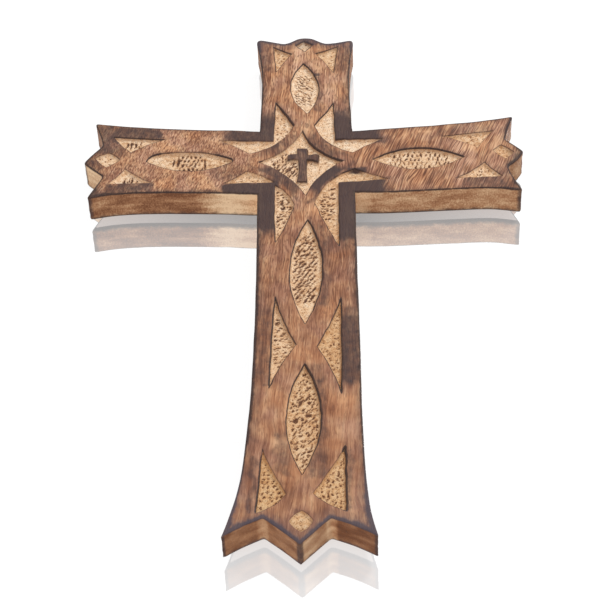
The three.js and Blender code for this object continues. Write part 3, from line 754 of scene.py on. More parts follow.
def box_mask(x, y, x0, y0, x1, y1, soft):
    """1 inside the box, fading to 0 over the soft distance: one number, or one each way."""
    soft_x, soft_y = soft if isinstance(soft, tuple) else (soft, soft)
    outside_x = np.maximum(x0 - x, x - x1) / soft_x
    outside_y = np.maximum(y0 - y, y - y1) / soft_y
    return 1 - smooth_step(0, 1, np.maximum(outside_x, outside_y))


def patches(x, y, boxes):
    """The strongest of the boxes at each point. Their borders are ragged, but not the sharp ones."""
    total = np.zeros(len(x))
    wander_x = x + hollows(x, y, PATCH_WANDER[:1], 21)
    wander_y = y + hollows(x, y, PATCH_WANDER[1:], 22)
    for x0, y0, x1, y1, soft, strength in boxes:
        at_x, at_y = (x, y) if np.max(soft) <= 1 else (wander_x, wander_y)
        total = np.maximum(total, strength * box_mask(at_x, at_y, x0, y0, x1, y1, soft))
    return total


def signed_patches(x, y, boxes):
    """The changes of all the boxes at each point, added up."""
    total = np.zeros(len(x))
    for x0, y0, x1, y1, soft, strength in boxes:
        total += strength * box_mask(x, y, x0, y0, x1, y1, soft)
    return total


def star_bands(points, rim):
    """How brown the land is around the star, but not at its tips."""
    distance = loop_distance(points, rim)
    tips = np.array([corner[:2] for corner in RECESSES["star"]])
    to_tip = np.min(np.linalg.norm(points[:, None] - tips[None], axis=2), axis=1)
    total = np.zeros(len(points))
    for sx, sy, strength in STAR_BANDS:
        here = (smooth_step(*BAND_BEGINS, points[:, 0] * sx)
                * smooth_step(*BAND_BEGINS, points[:, 1] * sy))
        total = np.maximum(total, strength * here)
    fade = smooth_step(STAR_BAND_WIDTH + 1, STAR_BAND_WIDTH - 1, distance)
    return total * fade * smooth_step(*TIP_ENDS, to_tip)


def land_looks(flat, star):
    """How burnt and how light the land is, with the painted shade beside the shaft lenses counted as
    burn: it goes on over the rims, too.
    """
    x, y = flat.T
    burn = np.maximum(patches(x, y, SCORCHED_AND_SHADED), star_bands(flat, star))
    return burn, patches(x, y, PALE_PATCHES) - patches(x, y, DULL_PATCHES)


def rim_distances(points, rims):
    """Of land points: the distance from the nearest rim, up to RIM_REACH, how much that rim is
    shaded, and how strong its burnt line and its painted shade are."""
    distance = np.full(len(points), float(RIM_REACH))
    shade, strength = np.zeros(len(points)), np.ones(len(points))
    for name, rim in rims.items():
        near = np.flatnonzero(near_box(points, rim, RIM_REACH))
        if len(near):
            found = loop_distance(points[near], rim)
            closer = near[found < distance[near]]
            distance[closer] = found[found < distance[near]]
            shade[closer] = wall_shade(points[closer], rim)
            strength[closer] = FLOOR_LOOKS[name][1]
    return distance, shade, strength + signed_patches(*points.T, RIM_LOOKS)


def near_box(points, loop, margin):
    """Which points lie in the loop's box, with a margin around it."""
    low, high = loop.min(axis=0) - margin, loop.max(axis=0) + margin
    return np.all((points > low) & (points < high), axis=1)


def edge_width(points):
    return EDGE_WIDTH + signed_patches(*points.T, WIDER_EDGES)


def edge_share(points, edge):
    """A front point's distance from the board's edge, as a share of the burnt line's width."""
    return (loop_distance(points, edge) + FRONT_EDGE[0][0]) / edge_width(points)


def side_share(height):
    """The same share on the sawn sides: from the front edge or, fainter, from the back edge."""
    return np.minimum((THICKNESS - height) / SIDE_LINE, BACK_LINE[0] + height / BACK_LINE[1])


def pit_marks(name, loop, seed):
    """Where the punch or small gouge struck a floor: x, y, long and short radius, angle, force."""
    rng = np.random.default_rng(seed)
    (pitch_x, pitch_y, long, short, angle, scatter, kept, force,
     (x0, y0, x1, y1)) = PITS.get(name, PITS_ELSEWHERE)
    low, high = loop.min(axis=0), loop.max(axis=0)
    hidden = recess_depth(name) * SEEN_LOWER
    y0, y1 = y0 + hidden, y1 + hidden
    rows = []
    for j, y in enumerate(np.arange(low[1], high[1], pitch_y)):
        for x in np.arange(low[0] + (j % 2) * pitch_x / 2, high[0], pitch_x):
            roll = rng.random()
            jx, jy = rng.normal(0, scatter, 2)
            sizes = rng.uniform(*PIT_SIZES, 2)
            tilt, strength = rng.normal(0, PIT_TILT), rng.uniform(*PIT_FORCES)
            dense = x0 < x < x1 and y0 < y < y1
            if roll > kept * (1 if dense else FEW_PITS):
                continue
            if not dense:
                sizes, strength = sizes * FEW_PITS_SIZE, strength * FEW_PITS_FORCE
            rows.append((x + jx, y + jy, long * sizes[0], short * sizes[1],
                         math.radians(angle + tilt), strength * force))
    for x, y, long, short, angle, force in SLITS.get(name, ()):
        rows.append((x, y + hidden, long, short, math.radians(angle), force))
    return np.array(rows)


def pit_field(points, marks):
    """How far each point lies in one of the marks, from 0 to 1."""
    field = np.zeros(len(points))
    amount, pitch = PIT_WANDER
    px, py = (points[:, k] + amount * smooth_noise(*points.T, pitch, 61 + k) for k in (0, 1))
    for x, y, long, short, angle, force in marks:
        dx, dy = px - x, py - y
        near = (np.abs(dx) < PIT_REACH) & (np.abs(dy) < PIT_REACH)
        u = dx[near] * math.cos(angle) + dy[near] * math.sin(angle)
        v = dy[near] * math.cos(angle) - dx[near] * math.sin(angle)
        dent = force * np.exp(-(u / long)**4 - (v / short)**2)
        field[near] = np.maximum(field[near], dent)
    return field


# The carved front

def front_height(x, y):
    """The worked front: nearly flat, with the shallow hollows that sanding by hand leaves."""
    return THICKNESS - FRONT_LOWERED + hollows(x, y, SANDED, 3)


def recess_depth(name):
    return next((depth for start, depth in DEPTHS.items() if name.startswith(start)), MAIN_DEPTH)


def star_relief():
    return wobbled(bowed_loop(RELIEF, RIM_STEP), *RELIEF_WOBBLE, seed=77)


def recess_mesh(rim, relief, seed):
    """A recess's points and triangles, and the outer rim where the land goes on."""
    outer = inset(rim, -RIM_LIP)
    creases = [rim] + [inset(rim, reach) for reach in WALL_REACH[2:-1]]
    points = grid(rim, FLOOR_STEP, seed)
    keep = depth_inside(points, rim) > WALL_REACH[-2] + WALL_MARGIN
    if relief is not None:
        creases += [inset(relief, reach) for reach in RELIEF_LOOPS]
        middle, half = RELIEF_STRIP
        keep &= np.abs(depth_inside(points, relief) - middle) > half
    creases = [loop for loop in creases if len(loop) > 3]
    return *filled(points[keep], outer, creases=creases), outer


def add_recess(skin, name, rim, edge, star, seed):
    """One recess: rounded rim, sloping wall, and a floor worked all over with small marks."""
    relief = star_relief() if name == "star" else None
    flat, faces, outer = recess_mesh(rim, relief, seed)
    x, y = flat.T
    reach = depth_inside(flat, rim)
    if relief is not None:
        in_relief = depth_inside(flat, relief)
        reach = np.minimum(reach, -in_relief * RELIEF_STEEPNESS)
    burn, tone = land_looks(flat, star)
    burn = burn * smooth_step(*BURN_ENDS, reach)
    if relief is not None:
        burn = np.maximum(burn, RELIEF_BURN * smooth_step(*RELIEF_BEGINS, in_relief))
    if name == "corner_lower_right":
        spot_x, spot_y, half_x, half_y = FLAME_SPOT
        flame = np.exp(-((x - spot_x) / half_x)**4 - ((y - spot_y) / half_y)**4)
        burn = np.maximum(burn, flame)
    floor = smooth_step(*FLOOR_BEGINS, reach)
    pits = pit_field(flat, pit_marks(name, rim, seed + 1))
    drop = recess_depth(name) * np.interp(reach, WALL_REACH, WALL_DROP)
    drop += floor * (hollows(x, y, GOUGED, seed + 2) + FLOOR_LOWERED + PIT_DEPTH * pits)
    aged, line = FLOOR_LOOKS[name]
    tone = tone * smooth_step(*TONE_ENDS, reach) + floor * signed_patches(x, y, FLOOR_TONES)
    skin.add(lifted(flat, front_height(x, y) - drop), faces, rim=-reach,
             shade=wall_shade(flat, rim), line=line + signed_patches(x, y, RIM_LOOKS),
             pale=smooth_step(*PALE_BEGINS, reach), aged=aged, pit=pits * floor, burn=burn,
             edge=edge_share(flat, edge), tone=tone)
    return outer


def add_front(skin, edge, rims):
    """The land around all the recesses, inside the outline's eased edge."""
    outers = [add_recess(skin, name, rim, edge, rims["star"], 100 + 10 * k)
              for k, (name, rim) in enumerate(rims.items())]
    points = grid(edge, LAND_STEP, 5)
    points = points[depth_inside(points, edge) > EDGE_MARGIN]
    for outer in outers:
        near = np.flatnonzero(near_box(points, outer, 1))
        covered = near[depth_inside(points[near], outer) > -RIM_MARGIN]
        points = np.delete(points, covered, axis=0)
    flat, faces = filled(points, edge, outers)
    rim, shade, line = rim_distances(flat, rims)
    burn, tone = land_looks(flat, rims["star"])
    skin.add(lifted(flat, front_height(*flat.T)), faces, rim=rim, shade=shade, line=line,
             burn=burn, edge=edge_share(flat, edge), tone=tone)


# The sawn sides

def corner_sign(loop):
    """Above 0 at the outline's points, below 0 in its notches, over a stretch of about 3 mm."""
    span = 4
    before = loop - np.roll(loop, span, axis=0)
    after = np.roll(loop, -span, axis=0) - loop
    turn = before[:, 0] * after[:, 1] - before[:, 1] * after[:, 0]
    size = np.linalg.norm(before, axis=1) * np.linalg.norm(after, axis=1)
    return turn / size


def side_rings(loop, pinned):
    """The sides' rings of points, from the front down, each with its height and edge share."""
    rings = []
    for distance, below in FRONT_EDGE:
        ring = moved_in(loop, distance, pinned)
        share = np.maximum(distance / edge_width(ring), below / SIDE_LINE)
        rings.append((ring, front_height(*ring.T) - below, share))
    for height in SIDE_HEIGHTS:
        sway = smooth_noise(loop[:, 0] + 3 * height, loop[:, 1] - height, SAWN_PITCH, 31)
        sway = SAWN_SWAY * sway
        sway = np.where(pinned, 0, sway + SAWN_SWAY)
        rings.append((loop + inward_normals(loop) * sway[:, None], height, side_share(height)))
    for distance, height in BACK_EDGE:
        rings.append((moved_in(loop, distance, pinned), height, side_share(height)))
    return rings


def add_sides(skin, loop, pinned):
    """The sawn sides, with the front edge lightly and the back edge well rounded."""
    rings = side_rings(loop, pinned)
    count = len(loop)
    # The faces start at the upper ring, which settles where each is folded into two triangles
    faces = np.roll(band(count, count, 0), 1, axis=1)
    turn = np.tile(corner_sign(loop), 2)
    for (upper, z_up, edge_up), (lower, z_low, edge_low) in zip(rings, rings[1:]):
        points = np.vstack([lifted(upper, z_up), lifted(lower, z_low)])
        x, y, z = points.T
        side = smooth_step(*SIDE_BEGINS, THICKNESS - z)
        corners = SHARP_CORNER_BURN * smooth_step(*SHARP_TURN, turn)
        burn = np.maximum(corners, (1 - side) * patches(x, y, SCORCHED_AND_SHADED))
        edge = np.concatenate([np.broadcast_to(share, count) for share in (edge_up, edge_low)])
        skin.add(points, faces, edge=edge, side=side, burn=burn,
                 tone=signed_patches(x, y, SIDE_TONES))
    return without_repeats(rings[0][0]), without_repeats(rings[-1][0])


# The back, with the pocket for the hanger, from the frame's own pieces

STRAP_LOW, STRAP_HIGH = box_of("hanger_strap")
RING_LOW, RING_HIGH = box_of("hanging_ring")
SCREWS = [box_of(name) for name in ("hanger_screw_1", "hanger_screw_2")]
POCKET_MARGIN = 1.6
POCKET_DEPTH = STRAP_HIGH[2] + 0.1
POCKET_CORNER = 4
POCKET_EASE = 0.3
PILOT_RADIUS = 1.4
PILOT_ROOM = 0.3
FOOT_BEND = 2


def rounded_box(low, high, radius, step):
    """A box with round corners, counter-clockwise from its right side."""
    arcs = []
    for quarter, signs in enumerate(((1, 1), (-1, 1), (-1, -1), (1, -1))):
        signs = np.array(signs)
        centre = np.where(signs > 0, high, low) - signs * radius
        angles = np.radians(np.linspace(90 * quarter, 90 * quarter + 90, 9))
        arcs.append(centre + radius * np.stack([np.cos(angles), np.sin(angles)], axis=1))
    points = np.vstack(arcs)
    return snapped(resampled(np.vstack([points, points[:1]]), step))


def circle(x, y, radius, count=28):
    angles = np.linspace(0, 2 * math.pi, count, endpoint=False)
    return snapped(np.stack([x + radius * np.cos(angles), y + radius * np.sin(angles)], axis=1))


def add_tube(skin, low, high, z_low, z_high):
    """A wall of the back from one loop up to the other, which looks at what lies between them."""
    count = len(low)
    points = np.vstack([lifted(low, z_low), lifted(high, z_high)])
    skin.add(points, band(count, count, 0), back=1.0)


def add_flat(skin, loop, holes, z, step, seed):
    """A flat face of the back that looks down, inside the loop and outside the holes."""
    points = grid(loop, step, seed)
    keep = depth_inside(points, loop) > step * 0.3
    for hole in holes:
        keep &= depth_inside(points, hole) < -step * 0.3
    flat, faces = filled(points[keep], loop, holes)
    skin.add(lifted(flat, z), faces[:, ::-1], back=1.0)


def add_back(skin, edge):
    """The planed back, with the pocket that holds the strap and the ring, and its pilot holes."""
    low = np.array([RING_LOW[0], STRAP_LOW[1] - CROSSING_Y]) - POCKET_MARGIN
    high = np.array([RING_HIGH[0], RING_HIGH[1] - CROSSING_Y]) + POCKET_MARGIN
    mouth = rounded_box(low, high, POCKET_CORNER, MOUTH_STEP)
    mouth_outer = inset(mouth, -POCKET_EASE)
    add_flat(skin, edge, [mouth_outer], 0.0, BACK_STEP, 6)
    add_tube(skin, mouth_outer, mouth, 0.0, POCKET_EASE)
    add_tube(skin, mouth, mouth, POCKET_EASE, POCKET_DEPTH)
    holes = [circle(x, y - CROSSING_Y, PILOT_RADIUS)
             for x, y, _ in (screw.mean(axis=0) for screw in SCREWS)]
    add_flat(skin, mouth, holes, POCKET_DEPTH, POCKET_STEP, 7)
    for hole, screw in zip(holes, SCREWS):
        bottom = screw[1][2] + PILOT_ROOM
        add_tube(skin, hole, hole, POCKET_DEPTH, bottom)
        add_flat(skin, hole, [], bottom, HOLE_STEP, 8)


def carved_body():
    """The whole carved and sawn body, before it is cut into its boards."""
    loop, pinned = outline_loop()
    rims = {}
    for k, (name, corners) in enumerate(RECESSES.items()):
        rims[name] = wobbled(bowed_loop(corners, RIM_STEP), *RIM_WOBBLE, 41 + k, corners)
    skin = Skin()
    front_edge, back_edge = add_sides(skin, loop, pinned)
    add_front(skin, front_edge, rims)
    add_back(skin, back_edge)
    return skin.mesh("whole"), back_edge


# The glue joints

DOWEL_ROOM = 0.3
SEAM_SLACK = 0.3
SEAM_STRIP = 4
ON_PLANE = 0.01
ARM_LOW = -30
ARM_HIGH = 35


class Seam:
    """A glue joint: the upright plane through two inner corners of the outline. It takes points
    of the mesh, in metres."""

    def __init__(self, arm, upper, lower, side):
        self.upper, self.lower, self.side = np.array(upper), np.array(lower), side
        self.along = (self.lower - self.upper) / np.linalg.norm(self.lower - self.upper)
        self.out = np.array([-self.along[1], self.along[0]])
        if self.out[0] * side < 0:
            self.out = -self.out
        self.dowels = [box_of(f"{arm}_{row}_dowel") for row in ("upper", "lower")]

    def offset(self, co):
        return co[0] / MM - self.upper[0], co[1] / MM - CROSSING_Y - self.upper[1]

    def reach(self, co):
        """How far a point lies beyond the plane, in mm."""
        x, y = self.offset(co)
        return x * self.out[0] + y * self.out[1]

    def flat(self, co):
        """A point's place on the plane, in mm: how far down the seam, and how high."""
        x, y = self.offset(co)
        return x * self.along[0] + y * self.along[1], co[2] / MM

    def solid(self, u, z):
        """The point at such a place."""
        x, y = self.upper + self.along * u
        return x * MM, (y + CROSSING_Y) * MM, z * MM

    def beside(self, co):
        """Whether a point is level with the seam."""
        return self.lower[1] - SEAM_SLACK < co[1] / MM - CROSSING_Y < self.upper[1] + SEAM_SLACK

    def near(self, co):
        return abs(self.reach(co)) < SEAM_STRIP and self.beside(co)

    def in_arm(self, co):
        if self.reach(co) <= 0:
            return False
        if co[0] / MM * self.side < max(abs(self.upper[0]), abs(self.lower[0])) + 1:
            return self.beside(co)
        return ARM_LOW < co[1] / MM - CROSSING_Y < ARM_HIGH


SEAMS = {"right": Seam("right", CORNER_UR, CORNER_LR, 1),
         "left": Seam("left", CORNER_UL, CORNER_LL, -1)}


def cut_at(bm, seam):
    faces = [f for f in bm.faces if seam.near(f.calc_center_median())]
    edges = {e for f in faces for e in f.edges}
    verts = {v for f in faces for v in f.verts}
    bmesh.ops.bisect_plane(bm, geom=[*verts, *edges, *faces], dist=1e-7,
                           plane_co=Vector(seam.solid(0, 0)), plane_no=(*seam.out, 0))


def open_loop(bm, seam):
    """The section's border, as vertices in order."""
    links = {}
    for edge in bm.edges:
        if edge.is_boundary and all(abs(seam.reach(v.co)) < ON_PLANE for v in edge.verts):
            for v in edge.verts:
                links.setdefault(v, []).append(edge.other_vert(v))
    start = next(iter(links))
    ring, last, now = [start], None, start
    while True:
        ahead = [v for v in links[now] if v is not last]
        last, now = now, ahead[0]
        if now is start:
            return ring
        ring.append(now)


def add_face(bm, verts, way):
    """A new face of the vertices, that looks the given way."""
    face = bm.faces.new(verts)
    face.normal_update()
    if face.normal.dot(way) < 0:
        face.normal_flip()


def add_dowel_hole(bm, mouth, deep, way):
    """The wall of a hole that starts at its mouth, and its flat bottom, which looks the given way."""
    bottom = [bm.verts.new((deep * MM, v.co.y, v.co.z)) for v in mouth]
    middle = sum((v.co for v in bottom), Vector()) / len(bottom)
    for k, here in enumerate(mouth):
        j = (k + 1) % len(mouth)
        inwards = Vector((0, middle.y - here.co.y, middle.z - here.co.z))
        add_face(bm, [here, mouth[j], bottom[j], bottom[k]], inwards)
    add_face(bm, bottom, way)


def place_key(place):
    """The same for two places on a seam that differ in the last digits alone."""
    return tuple(np.round(place, 3))


def cap(bm, seam, outwards):
    """Closes the section with a flat face that the two dowel holes run into."""
    border = open_loop(bm, seam)
    loop = np.array([seam.flat(v.co) for v in border])
    verts = {place_key(place): v for place, v in zip(loop, border)}
    holes = []
    for low, high in seam.dowels:
        _, y, z = (low + high) / 2
        u, _ = seam.flat((seam.upper[0] * MM, y * MM, 0))
        holes.append(circle(u, z, (high[2] - low[2]) / 2 + DOWEL_ROOM, 32))
    flat, faces = filled(NO_POINTS, loop, holes)
    for place in flat:
        if place_key(place) not in verts:
            verts[place_key(place)] = bm.verts.new(seam.solid(*place))
    way = Vector((*seam.out, 0)) * (1 if outwards else -1)
    for ids in faces:
        add_face(bm, [verts[place_key(flat[k])] for k in ids], way)
    for hole, (low, high) in zip(holes, seam.dowels):
        deep = low[0] - DOWEL_ROOM if outwards == (seam.side > 0) else high[0] + DOWEL_ROOM
        add_dowel_hole(bm, [verts[place_key(place)] for place in hole], deep, way)


def mesh_from(bm, name):
    mesh = bpy.data.meshes.new(name)
    bm.to_mesh(mesh)
    bm.free()
    return mesh


def parted(whole, name, wanted):
    """The part of the cut body whose faces are wanted, closed at its glue joints."""
    bm = whole.copy()
    bm.faces.ensure_lookup_table()
    spare = [f for f in bm.faces if not wanted(f.calc_center_median())]
    bmesh.ops.delete(bm, geom=spare, context="FACES")
    for side, seam in SEAMS.items():
        if name in ("upright", f"{side}_arm"):
            cap(bm, seam, name == "upright")
    return mesh_from(bm, name)


# Pieces

# In degrees: the edges that are shown sharp, those that are rounded, and those that are no edges
SHARP_ANGLE = 50
BEVEL_ANGLE = 40
FLAT_ANGLE = 1
# How close in mm two points of the frame's pieces are taken for one
SAME_POINT = 0.002


def placed(name, data):
    """A new object of that mesh, lamp or camera, in the scene."""
    thing = bpy.data.objects.new(name, data)
    bpy.context.scene.collection.objects.link(thing)
    return thing


def shown(name, mesh, body, node, material):
    """A finer piece that stands for one of the frame's nodes."""
    piece = placed(name, mesh)
    mesh.shade_smooth()
    mesh.set_sharp_from_angle(angle=math.radians(SHARP_ANGLE))
    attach(piece, body)
    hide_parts(node)
    mesh.materials.append(material)


def ring_wire():
    """The ring, as one bent wire with a round section, lying in the pocket."""
    wire = (RING_HIGH[2] - RING_LOW[2]) / 2
    bend = RING_HIGH[0] - wire
    top = RING_HIGH[1] - RING_HIGH[0]
    foot = RING_LOW[1] + wire
    arcs = [((bend - FOOT_BEND, foot + FOOT_BEND), FOOT_BEND, -90, 0), ((0, top), bend, 0, 180),
            ((FOOT_BEND - bend, foot + FOOT_BEND), FOOT_BEND, 180, 270)]
    path = [(FOOT_BEND - bend, foot)]
    for (x, y), radius, start, end in arcs:
        angles = np.radians(np.linspace(start, end, 33 if radius > FOOT_BEND else 9))
        path += list(zip(x + radius * np.cos(angles), y + radius * np.sin(angles)))
    path = resampled(np.array(path), WIRE_STEP)
    normals = inward_normals(path)
    height = (RING_LOW[2] + RING_HIGH[2]) / 2
    turns = np.linspace(0, 2 * math.pi, WIRE_SIDES, endpoint=False)
    rows = [lifted(path + normals * wire * math.cos(a), height + wire * math.sin(a)) for a in turns]
    count = len(path)
    faces = [band(count, k * count, (k + 1) % WIRE_SIDES * count) for k in range(WIRE_SIDES)]
    return new_mesh("ring_wire", np.vstack(rows), np.vstack(faces).tolist())


def softened(node, radius):
    """A finer copy of one of the frame's pieces, with its sharp edges rounded."""
    bm = bmesh.new()
    bm.from_mesh(node.data)
    bm.transform(node.matrix_world)
    bmesh.ops.remove_doubles(bm, verts=bm.verts, dist=SAME_POINT * MM)
    bmesh.ops.dissolve_limit(bm, angle_limit=math.radians(FLAT_ANGLE), verts=bm.verts,
                             edges=bm.edges)
    sharp = [e for e in bm.edges
             if e.is_manifold and e.calc_face_angle(0) > math.radians(BEVEL_ANGLE)]
    bmesh.ops.bevel(bm, geom=sharp, offset=radius * MM, segments=2, profile=0.6, affect="EDGES",
                    clamp_overlap=True)
    return mesh_from(bm, node.name + "_softened")


# Materials

WHITE = (1, 1, 1, 1)


def srgb(red, green, blue):
    """The linear colour of a screen colour, whose numbers go up to 255."""
    def linear(value):
        value /= 255
        return value / 12.92 if value <= 0.04045 else ((value + 0.055) / 1.055) ** 2.4
    return linear(red), linear(green), linear(blue), 1.0


class Graph:
    """The nodes of a material or of the world, made by short calls. An input is a number, a
    colour or a socket."""

    def __init__(self, owner, output="ShaderNodeOutputMaterial"):
        owner.use_nodes = True
        self.tree = owner.node_tree
        self.tree.nodes.clear()
        self.surface = self.node(output).inputs["Surface"]

    def node(self, kind, inputs=(), **settings):
        made = self.tree.nodes.new(kind)
        for key, value in settings.items():
            setattr(made, key, value)
        for key, value in dict(inputs).items():
            self.feed(made.inputs[key], value)
        return made

    def feed(self, socket, value):
        if isinstance(value, bpy.types.NodeSocket):
            self.tree.links.new(value, socket)
        else:
            socket.default_value = value

    def math(self, operation, a, b=0.0, clamp=False):
        return self.node("ShaderNodeMath", {0: a, 1: b}, operation=operation,
                         use_clamp=clamp).outputs[0]

    def add(self, first, *others):
        for other in others:
            first = self.math("ADD", first, other)
        return first

    def times(self, a, b, clamp=False):
        return self.math("MULTIPLY", a, b, clamp)

    def most(self, a, b):
        return self.math("MAXIMUM", a, b)

    def rest(self, share, clamp=False):
        """What is left of 1."""
        return self.math("SUBTRACT", 1, share, clamp)

    def centred(self, value, gain):
        """A noise around 0.5 as one around 0, times the gain."""
        return self.times(self.math("SUBTRACT", value, 0.5), gain)

    def span(self, value, low, high, to_low=0.0, to_high=1.0):
        """The value from low to high, drawn to the other two numbers, and no further."""
        return self.node("ShaderNodeMapRange", {0: value, 1: low, 2: high, 3: to_low, 4: to_high},
                         clamp=True).outputs[0]

    def mixed(self, share, a, b):
        """Two shaders, the second one by its share."""
        return self.node("ShaderNodeMixShader", {0: share, 1: a, 2: b}).outputs[0]

    def glow(self, colour, strength):
        return self.node("ShaderNodeEmission", {"Color": colour, "Strength": strength}).outputs[0]


class Paint(Graph):
    """The nodes of a material that depends on the place, in mm, and on noises of its own seed."""

    def __init__(self, name, seed=0):
        self.material = bpy.data.materials.new(name)
        super().__init__(self.material)
        self.seed = seed
        metres = self.node("ShaderNodeTexCoord").outputs["Object"]
        self.place = self.vector("MULTIPLY", metres, (1 / MM, 1 / MM, 1 / MM))
        split = self.node("ShaderNodeSeparateXYZ", {0: self.place})
        self.column, self.row = split.outputs[0], split.outputs[1]

    def vector(self, operation, a, b):
        return self.node("ShaderNodeVectorMath", {0: a, 1: b}, operation=operation).outputs[0]

    def attribute(self, name):
        return self.node("ShaderNodeAttribute", attribute_name=name).outputs["Fac"]

    def turned(self, place, degrees):
        return self.node("ShaderNodeVectorRotate",
                         {"Vector": place, "Angle": math.radians(degrees)},
                         rotation_type="Z_AXIS").outputs[0]

    def noise(self, number, place, pitch, detail=2, roughness=0.5):
        """The material's soft noise of that number. The pitch is its hills' size in mm: one for
        all the axes, or one along each."""
        if not isinstance(pitch, tuple):
            pitch = (pitch, pitch, pitch)
        shift = self.seed + number
        moved = self.vector("ADD", self.vector("DIVIDE", place, pitch),
                            (shift, shift * 1.7, shift * 2.3))
        return self.node("ShaderNodeTexNoise", {"Vector": moved, "Scale": 1, "Detail": detail,
                                                "Roughness": roughness}).outputs[0]

    def mix(self, share, a, b, blend="MIX"):
        return self.node("ShaderNodeMix", {0: share, 6: a, 7: b}, data_type="RGBA",
                         blend_type=blend, clamp_factor=True).outputs[2]

    def ramp(self, value, stops):
        """The colour at a place between the stops, which go from the lowest to the highest."""
        made = self.node("ShaderNodeValToRGB", {0: value})
        elements = made.color_ramp.elements
        for position, _ in stops[1:-1]:
            elements.new(position)
        for element, (position, colour) in zip(elements, stops):
            element.position = position
            element.color = srgb(*colour)
        return made.outputs[0]

    def finish(self, colour, roughness, bump, depth, **constants):
        """The material, with its surface raised by the bump times the depth."""
        normal = self.node("ShaderNodeBump", {"Height": bump, "Distance": depth, "Strength": 1})
        shader = self.node("ShaderNodeBsdfPrincipled", {
            "Base Color": colour, "Roughness": roughness, "Normal": normal.outputs[0]})
        for key, value in constants.items():
            shader.inputs[key.replace("_", " ")].default_value = value
        self.feed(self.surface, shader.outputs[0])
        return self.material


